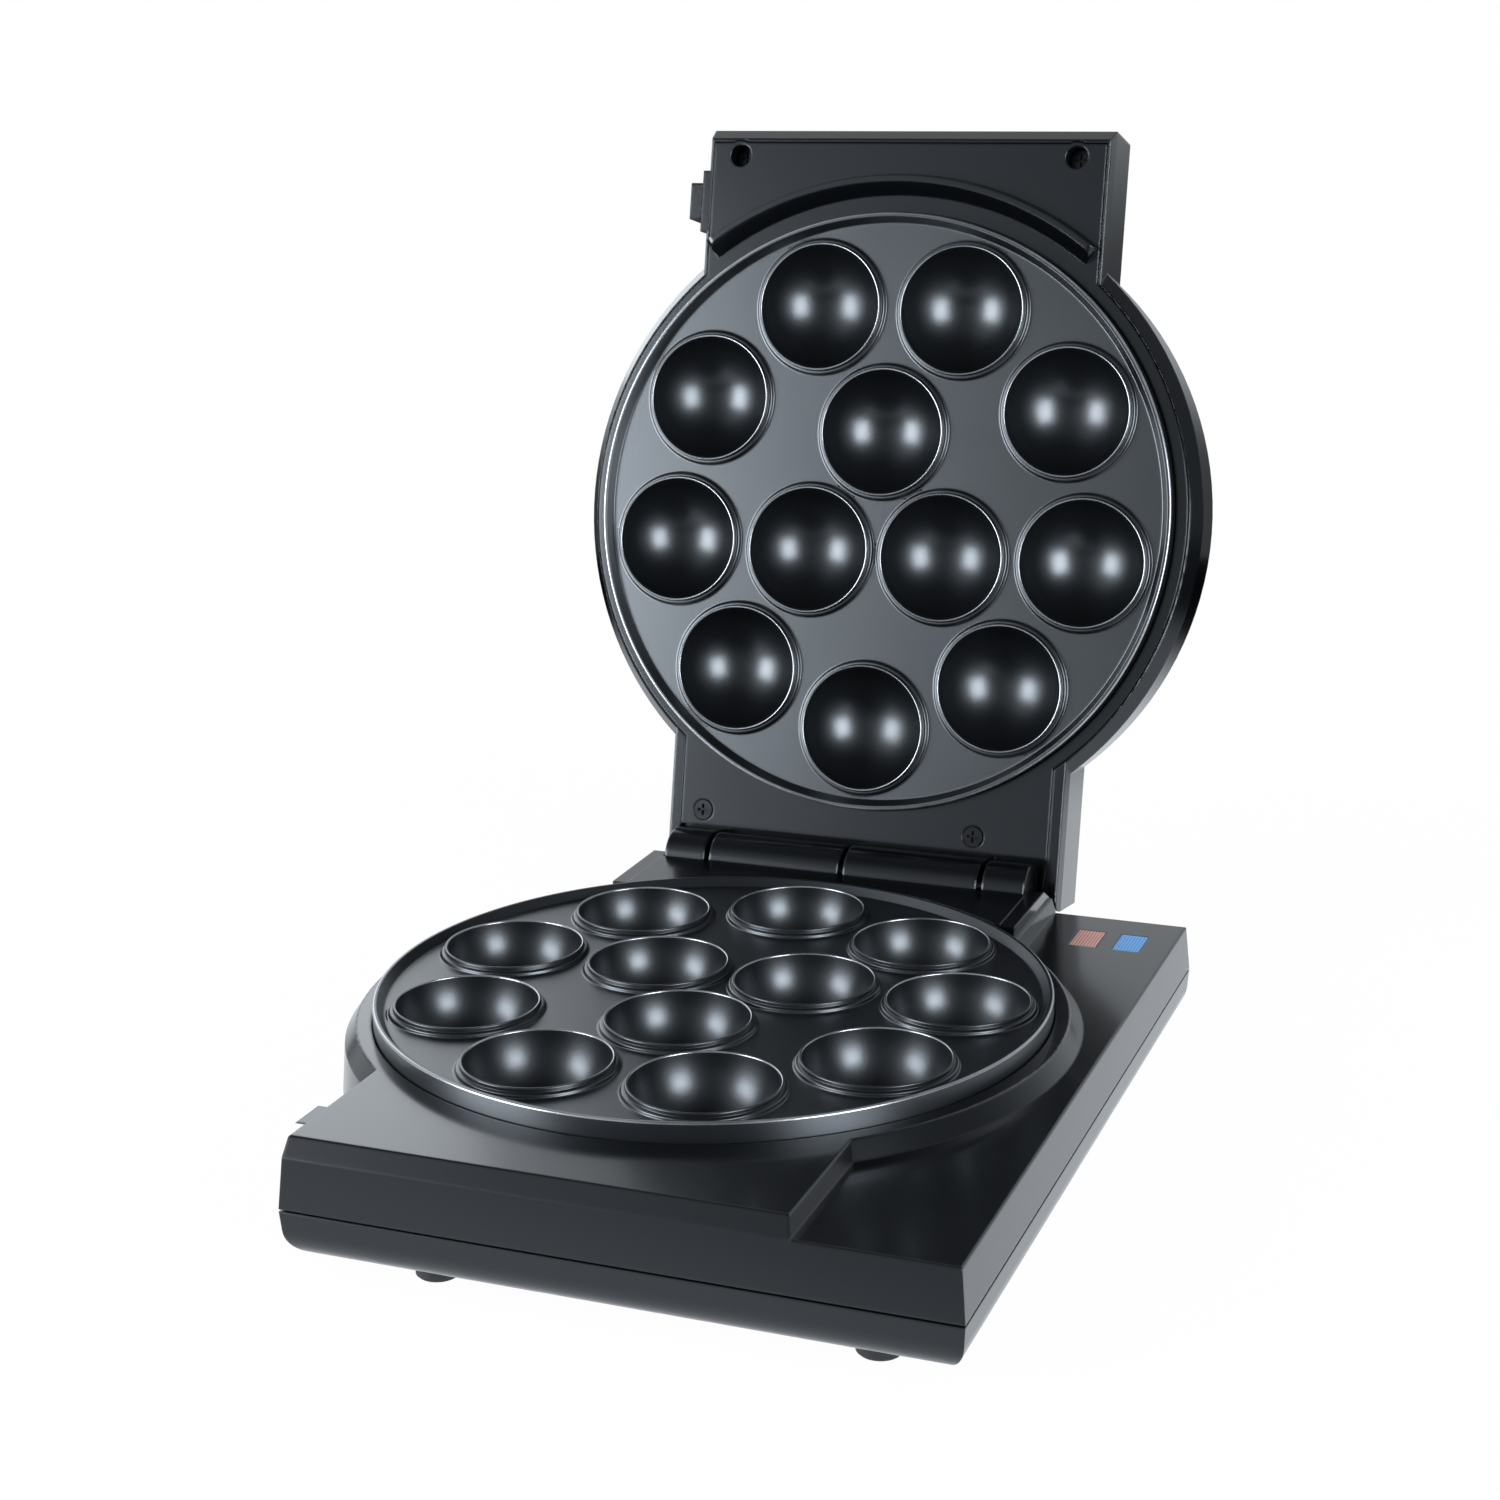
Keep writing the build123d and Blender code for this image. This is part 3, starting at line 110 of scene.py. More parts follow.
# the cord's gland, in millimetres
GLAND_NECK_R = 4.3
GLAND_BORE_R = 3.2
GLAND_FLANGE_T = 2.2
GLAND_SHORT = 3.4  # what the moulded neck lacks of its solid's length, so that the panel hides it
GLAND_INSET = 0.01  # keeps the flange inside its solid's box
GLAND_ROUNDS = (0.3, 0.4, 0.4, 0.3, 0.8, 0.4)
GLAND_SEGMENTS = 96

# how a mesh is closed and shaded
WELD_GAP = 2e-6  # metres
SHARP_ANGLE = math.radians(38)

# colours
WHITE = (1.0, 1.0, 1.0)
BLACK = (0.0, 0.0, 0.0)
COOL = (0.90, 0.95, 1.0)  # the light
NEAR_BLACK = (0.0012, 0.0015, 0.0021)
MIRROR_TINT = (0.88, 0.94, 1.0, 1.0)  # what the blacks mirror is a little cooler than the light
# painted highlight on the cast plates' edges: a dim and a bright colour, mixed by a cloud of wear
EDGE_SHEEN_DIM = (0.22, 0.225, 0.24)
EDGE_SHEEN_BRIGHT = (0.42, 0.43, 0.45)

# small forms of the finishes, in metres
SOFT_EDGE = 0.0009  # radius by which a moulding's edges look rounded
BORDER_START, BORDER_FULL = -0.0009, -0.0004  # a lamp window's dark line, measured past the window's edge

# the stage, in metres
FLOOR_R = 0.8
FLOOR_SEGMENTS = 96
FLOOR_PAINT = 0.9  # its grey
VIEW_AHEAD = (-0.35, 0.94, 0.0)  # level direction from the camera to the object
BRIGHT_SIDE = (-0.75, 0.45, -0.5)  # direction in which reflections see the brightest world
ROOM_LIGHT = 0.6  # level of the world for diffuse light
LAMP_AIM = (0.0, 0.0, 0.12)
LAMPS = (  # name, place, width and height, radiance
    ("right_strip", (1.14, -0.65, 0.27), (0.60, 0.94), 15.0),
    ("left_softbox", (-1.00, -0.85, 0.26), (0.76, 0.90), 14.0),
    ("front_fill", (-0.60, -1.18, 0.30), (0.30, 0.60), 0.4),
    ("rear_softbox", (-1.41, 1.27, 0.75), (1.2, 1.0), 1.7),
)
SENSOR_MM = 36.0
CLIP_START, CLIP_END = 0.01, 50


# ---------------------------------------------------------------- settings


class PlateSettings(bpy.types.PropertyGroup):
    """Sizes of the cast plates' small forms."""

    lip_width: FloatProperty(
        name="Lip width", description="Raised lip round each mouth", default=0.0008, unit="LENGTH")
    lip_height: FloatProperty(
        name="Lip height", description="Lip above its step", default=0.0013, unit="LENGTH")
    step_width: FloatProperty(
        name="Step width", description="Step round the lip", default=0.0011, unit="LENGTH")
    edge_round: FloatProperty(
        name="Edge rounding", description="Radius of the cast edges", default=0.00035, unit="LENGTH")
    floor_round: FloatProperty(
        name="Floor rounding", description="Radius where a form meets the floor", default=0.0006,
        unit="LENGTH")
    cup_segments: IntProperty(
        name="Cup segments", description="Steps round each cavity", default=96, min=24, max=192)
    rim_segments: IntProperty(
        name="Rim segments", description="Steps round the plate", default=288, min=64, max=512)


class FinishSettings(bpy.types.PropertyGroup):
    """Colours of the finishes."""

    plastic_colour: FloatVectorProperty(
        name="Plastic", description="Near-black moulded plastic", default=NEAR_BLACK,
        subtype="COLOR", size=3)
    coating_colour: FloatVectorProperty(
        name="Coating", description="Non-stick coating of the plates", default=NEAR_BLACK,
        subtype="COLOR", size=3)
    red_colour: FloatVectorProperty(
        name="Red lamp", description="Window of the heating lamp", default=(0.52, 0.24, 0.20),
        subtype="COLOR", size=3)
    blue_colour: FloatVectorProperty(
        name="Blue lamp", description="Window of the ready lamp", default=(0.07, 0.30, 0.68),
        subtype="COLOR", size=3)


class StageSettings(bpy.types.PropertyGroup):
    """Camera of the stage."""

    camera_turn: FloatProperty(
        name="Camera turn", description="Angle of the view round the upright", default=math.radians(21.356),
        subtype="ANGLE")
    camera_rise: FloatProperty(
        name="Camera rise", description="Angle of the view above level", default=math.radians(15.750),
        subtype="ANGLE")
    camera_roll: FloatProperty(
        name="Camera roll", description="Turn about the line of sight", default=math.radians(-0.797),
        subtype="ANGLE")
    focal: FloatProperty(
        name="Focal length", description="For a sensor 36 mm wide", default=62.03, unit="CAMERA")
    camera_place: FloatVectorProperty(
        name="Camera place", description="In the object's frame", default=(0.2621, -0.6393, 0.3028),
        subtype="XYZ", unit="LENGTH", size=3)


# ---------------------------------------------------------------- shapes


def swing(points):
    """Points of the shut lid turned open: a turn by LID_OPEN about the hinge's line, which runs along X."""
    turn = math.radians(-LID_OPEN)
    y, z = points[..., 1] - HINGE_Y, points[..., 2] - HINGE_H
    opened = points.copy()
    opened[..., 1] = HINGE_Y + y * math.cos(turn) - z * math.sin(turn)
    opened[..., 2] = HINGE_H + y * math.sin(turn) + z * math.cos(turn)
    return opened


def mirror_up(points):
    """The lid's twin of a base form: height z becomes 2 * PARTING_H - z."""
    twin = points.copy()
    twin[..., 2] = 2 * PARTING_H - twin[..., 2]
    return twin


def round_angles(count):
    """Angles spaced evenly round a circle."""
    return np.linspace(0, 2 * np.pi, count, endpoint=False)


def rounded_profile(corners, radii):
    """Polyline with each corner replaced by an arc that touches both its runs.

    An arc of radius r at a corner whose runs turn by angle t starts r * tan(t / 2) before the corner and ends
    as far after it.
    """
    corners = np.asarray(corners, float)
    out = [corners[:1]]
    for before, corner, after, radius in zip(corners[:-2], corners[1:-1], corners[2:], radii):
        into = (corner - before) / np.linalg.norm(corner - before)
        away = (after - corner) / np.linalg.norm(after - corner)
        turn = math.acos(float(np.clip(into @ away, -1, 1)))
        reach = radius * math.tan(turn / 2)
        side = away - into * (into @ away)
        side = side / np.linalg.norm(side)
        angle = np.linspace(0, turn, ARC_STEPS + 1)[:, None]
        start = corner - into * reach
        out.append(start + radius * (np.sin(angle) * into + (1 - np.cos(angle)) * side))
    out.append(corners[-1:])
    return np.vstack(out)


def arc_columns(number, first=0):
    """Faces along a rounded profile, which starts at point first, that lie on its corner of that number."""
    start = first + 1 + number * (ARC_STEPS + 1)
    return range(start, start + ARC_STEPS)


def turned(profile, segments, centre=(0.0, 0.0)):
    """Grid of a profile (radius r, height z) carried round an upright axis: x = r cos a, y = r sin a."""
    angle = round_angles(segments)
    radius, height = profile[:, 0], profile[:, 1]
    x = centre[0] + np.outer(np.cos(angle), radius)
    y = centre[1] + np.outer(np.sin(angle), radius)
    return np.stack([x, y, np.broadcast_to(height, x.shape)], axis=-1)


def grid_faces(rows, columns):
    """Quads between neighbours of a grid of points that is closed round its rows."""
    row, column = np.meshgrid(np.arange(rows), np.arange(columns - 1), indexing="ij")
    following = (row + 1) % rows
    quads = np.stack([row * columns + column, following * columns + column,
                      following * columns + column + 1, row * columns + column + 1], axis=-1)
    return quads.reshape(-1, 4)


def holed_sheet(height, outer_r, segments, holes, hole_segments):
    """Flat sheet at a height inside a circle, with round holes: points on the circles and their triangles."""
    def ring(radius, count, centre=(0.0, 0.0)):
        angle = round_angles(count)
        return np.stack([centre[0] + radius * np.cos(angle), centre[1] + radius * np.sin(angle)], axis=-1)

    rings = [ring(outer_r, segments)] + [ring(radius, hole_segments, centre) for centre, radius in holes]
    edges, first = [], 0
    for loop in rings:
        count = len(loop)
        edges += [(first + k, first + (k + 1) % count) for k in range(count)]
        first += count
    result = delaunay_2d_cdt([Vector(p) for p in np.vstack(rings)], edges, [], CDT_HULL, CDT_GAP)
    flat = np.array([tuple(v) for v in result[0]])
    faces = np.array([tuple(f) for f in result[2]])
    middle = flat[faces].mean(axis=1)
    keep = np.hypot(*middle.T) < outer_r
    for centre, radius in holes:
        keep &= np.hypot(middle[:, 0] - centre[0], middle[:, 1] - centre[1]) > radius * HOLE_EDGE
    return np.column_stack([flat, np.full(len(flat), height)]), faces[keep]


def oriented(points, faces, upwards):
    """Flat triangles turned so that they all face up, or all down."""
    a, b, c = (points[faces[:, k]] for k in range(3))
    up = np.cross(b - a, c - a)[:, 2] > 0
    faces = faces.copy()
    wrong = up != upwards
    faces[wrong] = faces[wrong][:, ::-1]
    return faces


class Patches:
    """Points, faces and marks of the painted edge highlight of a surface that is put together from grids and
    flat sheets.
    """

    def __init__(self):
        self.points, self.faces, self.highlight_marks = [], [], []

    def add(self, points, faces, highlight_marks):
        """Faces that count their points from 0, each marked for the painted edge highlight or not."""
        self.faces.extend(faces + sum(map(len, self.points)))
        self.points.append(points)
        self.highlight_marks.append(highlight_marks)

    def add_grid(self, grid, inside_out=False, highlight_columns=()):
        """A grid closed round its rows; its faces in the given columns carry the painted edge highlight."""
        rows, columns = grid.shape[:2]
        quads = grid_faces(rows, columns)
        highlight_marks = np.isin(np.tile(np.arange(columns - 1), rows), list(highlight_columns))
        self.add(grid.reshape(-1, 3), quads[:, ::-1] if inside_out else quads, highlight_marks)

    def joined(self):
        """All points as one array, all faces as one list, all marks as one array."""
        return np.vstack(self.points), self.faces, np.concatenate(self.highlight_marks)


def build_mesh(name, points, faces, highlight_marks, flip=False):
    """Mesh object from points in millimetres and a list of faces, welded and shaded smooth by angle.

    Faces marked for the painted edge highlight take the object's second material.
    """
    mesh = bpy.data.meshes.new(name)
    listed = [tuple(int(i) for i in (face[::-1] if flip else face)) for face in faces]
    mesh.from_pydata((np.asarray(points) * MM).tolist(), [], listed)
    mesh.polygons.foreach_set("material_index", highlight_marks.astype(np.int32))
    piece = bpy.data.objects.new(name, mesh)
    bpy.context.scene.collection.objects.link(piece)
    work = bmesh.new()
    work.from_mesh(mesh)
    bmesh.ops.remove_doubles(work, verts=work.verts, dist=WELD_GAP)
    work.to_mesh(mesh)
    work.free()
    mesh.shade_smooth()
    mesh.set_sharp_from_angle(angle=SHARP_ANGLE)
    return piece


def cavity_centres():
    """Centres of the cavities: each ring's angles are evenly spaced from its first."""
    centres = []
    for count, radius, first in (OUTER_RING, INNER_RING):
        angle = np.radians(first + 360 / count * np.arange(count))
        centres += list(zip(radius * np.cos(angle), radius * np.sin(angle)))
    return centres


def plate_surface(settings):
    """Points, faces and painted-highlight faces of a cast plate: floor, cups with lip and step, rim, skirt
    and underside.

    Each cup's inside is a half sphere r = R sin a, z = -R cos a, with a from 0 to a right angle; its last
    points give way to the mouth's upright wall.
    """
    edge, soft = settings.edge_round / MM, settings.floor_round / MM
    step_h = PLATE_TOP - settings.lip_height / MM
    lip_r = CAVITY_R + settings.lip_width / MM
    step_r = lip_r + settings.step_width / MM
    hole_r = step_r + soft + FLAT_MARGIN
    floor_h = PLATE_TOP - FLOOR_DROP
    under_h = floor_h - CAST_WALL
    angle = np.linspace(0, np.pi / 2, BOWL_POINTS)
    bowl = np.stack([CAVITY_R * np.sin(angle), PLATE_TOP - CAVITY_R * np.cos(angle)], axis=-1)[:-2]
    wall = rounded_profile(
        [(CAVITY_R, PLATE_TOP - MOUTH_WALL), (CAVITY_R, PLATE_TOP), (lip_r, PLATE_TOP),
         (lip_r, step_h), (step_r, step_h), (step_r, floor_h), (hole_r, floor_h)],
        [edge, edge, edge / 2, 2 * edge, soft],
    )
    cup = np.vstack([bowl, wall])
    outer_r = CAVITY_R + CAST_WALL
    lower = np.linspace(0, np.arccos((PLATE_TOP - under_h) / outer_r), SHELL_POINTS)
    shell = np.stack([outer_r * np.sin(lower), PLATE_TOP - outer_r * np.cos(lower)], axis=-1)
    rim = rounded_profile(
        [(SHEET_R, floor_h), (RIM_FOOT_R, floor_h), (RIM_CREST_R, PLATE_TOP), (PLATE_R, PLATE_TOP),
         (PLATE_R, PLATE_FOOT), (PLATE_SKIRT_R, PLATE_FOOT), (PLATE_SKIRT_R, under_h)],
        [soft, edge, RIM_ROUND, edge, edge],
    )
    plate = Patches()
    centres = cavity_centres()
    # the lip's rounding and the rim's crest carry the painted edge highlight
    lip_edge, rim_edges = arc_columns(0, first=len(bowl)), [*arc_columns(2), *arc_columns(3)]
    for centre in centres:
        plate.add_grid(turned(cup, settings.cup_segments, centre), highlight_columns=lip_edge)
        plate.add_grid(turned(shell, settings.cup_segments, centre), inside_out=True)
    plate.add_grid(turned(rim, settings.rim_segments), highlight_columns=rim_edges)
    for height, outer, hole, upwards in ((floor_h, SHEET_R, hole_r, True),
                                         (under_h, PLATE_SKIRT_R, shell[-1, 0], False)):
        sheet, triangles = holed_sheet(height, outer, settings.rim_segments,
                                       [(centre, hole) for centre in centres], settings.cup_segments)
        plate.add(sheet, oriented(sheet, triangles, upwards), np.zeros(len(triangles), bool))
    return plate.joined()


def gland_surface(low, high):
    """Points and faces of a flanged collar with a bore, turned round an axis along Y, within a box.

    The profile is carried round an upright axis, and then its height becomes the place along Y.
    """
    middle, flange_r = (low + high) / 2, (high[0] - low[0]) / 2 - GLAND_INSET
    face, rear = low[1] + GLAND_INSET, high[1] - GLAND_SHORT
    bore_middle = (GLAND_BORE_R, (face + rear) / 2)
    profile = rounded_profile(
        [bore_middle, (GLAND_BORE_R, face), (flange_r, face), (flange_r, face + GLAND_FLANGE_T),
         (GLAND_NECK_R, face + GLAND_FLANGE_T), (GLAND_NECK_R, rear), (GLAND_BORE_R, rear), bore_middle],
        GLAND_ROUNDS,
    )
    grid = turned(profile, GLAND_SEGMENTS)
    points = np.stack([grid[..., 0] + middle[0], grid[..., 2], grid[..., 1] + middle[2]], axis=-1)
    return points.reshape(-1, 3), grid_faces(*grid.shape[:2])


# ---------------------------------------------------------------- materials


class Wire:
    """One output of a node tree; arithmetic on it adds Math nodes."""

    def __init__(self, tree, socket):
        self.tree, self.socket = tree, socket

    def beside(self, name):
        """Another output of the same node."""
        return Wire(self.tree, self.socket.node.outputs[name])

    def calc(self, operation, *values):
        """A Math node with its values in order."""
        return self.tree.add("ShaderNodeMath", {"operation": operation}, dict(enumerate(values)))

    def larger(self, other):
        """The larger of two numbers."""
        return self.calc("MAXIMUM", self, other)

    def __abs__(self):
        return self.calc("ABSOLUTE", self)

    def __add__(self, other):
        return self.calc("ADD", self, other)

    def __radd__(self, other):
        return self.calc("ADD", other, self)

    def __sub__(self, other):
        return self.calc("SUBTRACT", self, other)

    def __rsub__(self, other):
        return self.calc("SUBTRACT", other, self)

    def __mul__(self, other):
        return self.calc("MULTIPLY", self, other)

    def __rmul__(self, other):
        return self.calc("MULTIPLY", other, self)


def rgba(colour):
    """A colour with full alpha, or the wire that carries one."""
    return colour if isinstance(colour, Wire) else (*colour, 1)


def scaled(colour, factor):
    """A colour made lighter or darker."""
    return tuple(c * factor for c in colour)


class Tree:
    """A node tree with one way to add a node."""

    def __init__(self, tree):
        self.nodes, self.links = tree.nodes, tree.links

    def add(self, kind, settings=None, inputs=None, output=0):
        """A node with its settings and the values or wires of its sockets; returns one of its outputs."""
        node = self.nodes.new(kind)
        for key, value in (settings or {}).items():
            setattr(node, key, value)
        for key, value in (inputs or {}).items():
            if isinstance(value, Wire):
                self.links.new(value.socket, node.inputs[key])
            else:
                node.inputs[key].default_value = value
        return Wire(self, node.outputs[output]) if node.outputs else None

    def smooth(self, value, low, high, start, end):
        """A number that goes softly from start to end while value goes from low to high."""
        return self.add("ShaderNodeMapRange", {"interpolation_type": "SMOOTHSTEP"},
                        {"Value": value, "From Min": low, "From Max": high, "To Min": start, "To Max": end})

    def blend(self, mask, low, high):
        """Colour between two, by a mask."""
        return self.add("ShaderNodeMix", {"data_type": "RGBA"}, {0: mask, 6: rgba(low), 7: rgba(high)},
                        output=2)

    def blend_shaders(self, mask, low, high):
        """Shader between two, by a mask."""
        return self.add("ShaderNodeMixShader", {}, {0: mask, 1: low, 2: high})

    def reach(self, vector, direction):
        """How far a vector reaches along a direction: their dot product."""
        return self.add("ShaderNodeVectorMath", {"operation": "DOT_PRODUCT"}, {0: vector, 1: direction},
                        output="Value")

    def light_rays(self):
        """Two masks: rays that come straight from the camera, and rays sent on by a mirror or by glass."""
        straight = self.add("ShaderNodeLightPath", output="Is Camera Ray")
        return straight, straight.beside("Is Glossy Ray") + straight.beside("Is Transmission Ray")


class Finish(Tree):
    """A material made from nodes, with one Principled shader."""

    def __init__(self, name, **constants):
        self.material = bpy.data.materials.new(name)
        self.material.use_nodes = True
        super().__init__(self.material.node_tree)
        self.shader = self.nodes["Principled BSDF"]
        for socket, value in constants.items():
            self.shader.inputs[socket.replace("_", " ")].default_value = value

    def feed(self, socket, wire):
        """Joins a wire to one of the shader's sockets."""
        self.links.new(wire.socket, self.shader.inputs[socket])

    def place(self):
        """Object coordinates, in metres."""
        return self.add("ShaderNodeTexCoord", output="Object")

    def noise(self, scale, detail=2.0, rough=0.5, stretch=None):
        """Cloudy pattern of a size, stretched along an axis where stretch is given."""
        place = self.place()
        if stretch is not None:
            place = self.add("ShaderNodeMapping", {}, {"Vector": place, "Scale": stretch})
        return self.add("ShaderNodeTexNoise", {},
                        {"Vector": place, "Scale": scale, "Detail": detail, "Roughness": rough})

    def bump(self, height, strength, distance, edge=0.0):
        """Bump from a height, on top of edges that look rounded by a radius in metres."""
        inputs = {"Height": height, "Strength": strength, "Distance": distance}
        if edge:
            inputs["Normal"] = self.add("ShaderNodeBevel", {"samples": 4}, {"Radius": edge})
        self.feed("Normal", self.add("ShaderNodeBump", {}, inputs))


def moulded_plastic(name, colour, rough, grain, scuff):
    """Near-black moulding: polished skin with a faint ripple, and wear that dulls it in patches."""
    finish = Finish(name, IOR=1.5, Coat_Weight=0.25, Coat_Roughness=rough / 2, Specular_Tint=MIRROR_TINT)
    cloud = finish.noise(22, detail=3)
    fine = finish.noise(900)
    finish.feed("Base Color", finish.blend(cloud, scaled(colour, 0.92), scaled(colour, 1.08)))
    finish.feed("Roughness", rough + (cloud - 0.5) * scuff + (fine - 0.5) * 0.02)
    finish.bump(fine * 0.5 + finish.noise(140) * 0.5, strength=grain, distance=0.0002, edge=SOFT_EDGE)
    return finish.material


def coated_cast(name, colour):
    """Non-stick coating on a casting: satin, finely pebbled, with a slight cloud in colour and gloss."""
    finish = Finish(name, IOR=1.5, Specular_IOR_Level=1.0, Specular_Tint=MIRROR_TINT)
    cloud = finish.noise(30, detail=4)
    pebble = finish.noise(1500, detail=3, rough=0.6)
    fleck = finish.add("ShaderNodeTexVoronoi", {}, {"Vector": finish.place(), "Scale": 1400.0})
    finish.feed("Base Color", finish.blend(cloud, scaled(colour, 0.85), scaled(colour, 1.15)))
    finish.feed("Roughness", 0.32 + (cloud - 0.5) * 0.08 + (pebble - 0.5) * 0.05)
    finish.bump(pebble * 0.7 + fleck * 0.3, strength=0.14, distance=0.00012)
    return finish.material


def highlight_and_wear_edge(name):
    """Edge of the coated casting: a painted highlight line of bright grey and metal, clouded as if the
    coating were thin and polished by use.
    """
    finish = Finish(name, IOR=1.5)
    glint_and_rub = finish.noise(45, detail=3)
    finish.feed("Metallic", finish.smooth(glint_and_rub, low=0.25, high=0.7, start=0.55, end=0.95))
    # painted highlight: these bright colours stand in for lines of light along the lips and rim
    finish.feed("Base Color", finish.blend(glint_and_rub, EDGE_SHEEN_DIM, EDGE_SHEEN_BRIGHT))
    finish.feed("Roughness", 0.22 + (glint_and_rub - 0.5) * 0.1)
    return finish.material


def plain_metal(name, colour, rough, stretch):
    """Metal with fine lines of drawing or turning along one axis."""
    finish = Finish(name, Metallic=1.0)
    lines = finish.noise(60, detail=4, rough=0.6, stretch=stretch)
    finish.feed("Base Color", finish.blend(lines, scaled(colour, 0.8), scaled(colour, 1.1)))
    finish.feed("Roughness", rough + (lines - 0.5) * 0.2)
    finish.bump(lines, strength=0.15, distance=0.0001)
    return finish.material


def dull_solid(name, colour, rough, grain):
    """Matt solid, such as rubber or ceramic, with a fine grain."""
    finish = Finish(name, IOR=1.45)
    cloud = finish.noise(80, detail=3)
    finish.feed("Base Color", finish.blend(cloud, scaled(colour, 0.85), scaled(colour, 1.12)))
    finish.feed("Roughness", rough + (cloud - 0.5) * 0.1)
    finish.bump(finish.noise(1800), strength=grain, distance=0.0001)
    return finish.material


def lamp_window(name, colour, window):
    """Coloured window, ribbed like a small lens, with a dark line along its edges."""
    finish = Finish(name, IOR=1.49)
    corners = np.array([corner.co for corner in window.data.vertices])
    low, high = corners.min(axis=0), corners.max(axis=0)
    place = finish.place()
    past_edge = []  # how far a point lies past the window's edge along X and along Y
    for axis, letter in enumerate("XY"):
        along = finish.add("ShaderNodeSeparateXYZ", {}, {0: place}, output=letter)
        past_edge.append(abs(along - (low[axis] + high[axis]) / 2) - (high[axis] - low[axis]) / 2)
    nearest = past_edge[0].larger(past_edge[1])
    border = finish.smooth(nearest, low=BORDER_START, high=BORDER_FULL, start=0.0, end=1.0)
    ribs = finish.add("ShaderNodeTexWave", {"bands_direction": "X"},
                      {"Vector": place, "Scale": 330.0, "Distortion": 0.0})
    ribbed = finish.blend(ribs, scaled(colour, 0.8), scaled(colour, 1.15))
    finish.feed("Base Color", finish.blend(border, ribbed, scaled(colour, 0.1)))
    finish.feed("Roughness", 0.25 + ribs * 0.1)
    finish.bump(ribs, strength=0.2, distance=0.0002)
    return finish.material


def lamp_glass(name):
    """Clear glass of the glow lamps."""
    finish = Finish(name, IOR=1.5, Transmission_Weight=0.9)
    finish.feed("Roughness", 0.03 + finish.noise(200) * 0.04)
    finish.feed("Base Color", finish.blend(finish.noise(90), (0.95, 0.9, 0.85), (1, 0.97, 0.92)))
    return finish.material


# ---------------------------------------------------------------- stage


def lay_floor(scene, height):
    """A pale disc just under the feet, shadowed near the object and white to the camera farther off.

    Reflections see it glow, less with distance and less towards the camera.
    """
    angle = round_angles(FLOOR_SEGMENTS)
    ring = np.stack([FLOOR_R * np.cos(angle), FLOOR_R * np.sin(angle), np.full_like(angle, height)], axis=-1)
    mesh = bpy.data.meshes.new("floor")
    mesh.from_pydata(ring.tolist(), [], [tuple(range(FLOOR_SEGMENTS))])
    floor = bpy.data.objects.new("floor", mesh)
    scene.collection.objects.link(floor)
    paint = Finish("floor_paint", Roughness=0.9, Base_Color=rgba((FLOOR_PAINT,) * 3))
    straight, mirrored = paint.light_rays()
    away = paint.add("ShaderNodeVectorMath", {"operation": "LENGTH"}, {0: paint.place()}, output="Value")
    ahead = paint.reach(paint.place(), VIEW_AHEAD)
    far = paint.smooth(away, low=0.3, high=0.7, start=0.975, end=1.0)
    near = (paint.smooth(away, low=0.34, high=0.55, start=1.0, end=0.0)
            * paint.smooth(ahead, low=-0.24, high=-0.14, start=0.6, end=1.0))
    white, cool, black = (paint.add("ShaderNodeEmission", {}, {"Color": rgba(colour), "Strength": 1.0})
                          for colour in (WHITE, COOL, BLACK))
    glow = paint.blend_shaders(straight, paint.blend_shaders(near, black, cool), white)
    both = paint.blend_shaders(straight * far + mirrored, Wire(paint, paint.shader.outputs["BSDF"]), glow)
    paint.links.new(both.socket, paint.nodes["Material Output"].inputs["Surface"])
    floor.data.materials.append(paint.material)


def light_world(scene):
    """World: white to the camera; reflections see it darken to the front, the right, overhead and below."""
    world = bpy.data.worlds.new("studio")
    scene.world = world
    world.use_nodes = True
    air = Tree(world.node_tree)
    air.nodes.clear()
    straight, mirrored = air.light_rays()
    heading = air.add("ShaderNodeTexCoord", output="Generated")
    around = air.smooth(air.reach(heading, BRIGHT_SIDE), low=-0.8, high=0.0, start=0.2, end=0.8)
    height = air.add("ShaderNodeSeparateXYZ", {}, {0: heading}, output="Z")
    above = air.smooth(height, low=-0.10, high=0.02, start=0.1, end=1.0)
    overhead = air.smooth(height, low=0.6, high=0.95, start=1.0, end=0.15)
    indirect = mirrored * around * above * overhead + (1 - mirrored) * ROOM_LIGHT
    level = straight + (1 - straight) * indirect
    tint = air.blend(straight, COOL, WHITE)
    sky = air.add("ShaderNodeBackground", {}, {"Color": tint, "Strength": level})
    air.add("ShaderNodeOutputWorld", {}, {"Surface": sky})


def hang_lamps(scene):
    """Lamps of LAMPS, all turned to one point; one of area A and radiance L sends out pi * A * L watts."""
    for name, place, size, radiance in LAMPS:
        light = bpy.data.lights.new(name, "AREA")
        light.shape, light.color = "RECTANGLE", COOL
        light.size, light.size_y = size
        light.energy = radiance * math.pi * size[0] * size[1]
        lamp = bpy.data.objects.new(name, light)
        scene.collection.objects.link(lamp)
        lamp.location = place
        lamp.rotation_euler = (Vector(LAMP_AIM) - Vector(place)).to_track_quat("-Z", "Y").to_euler()


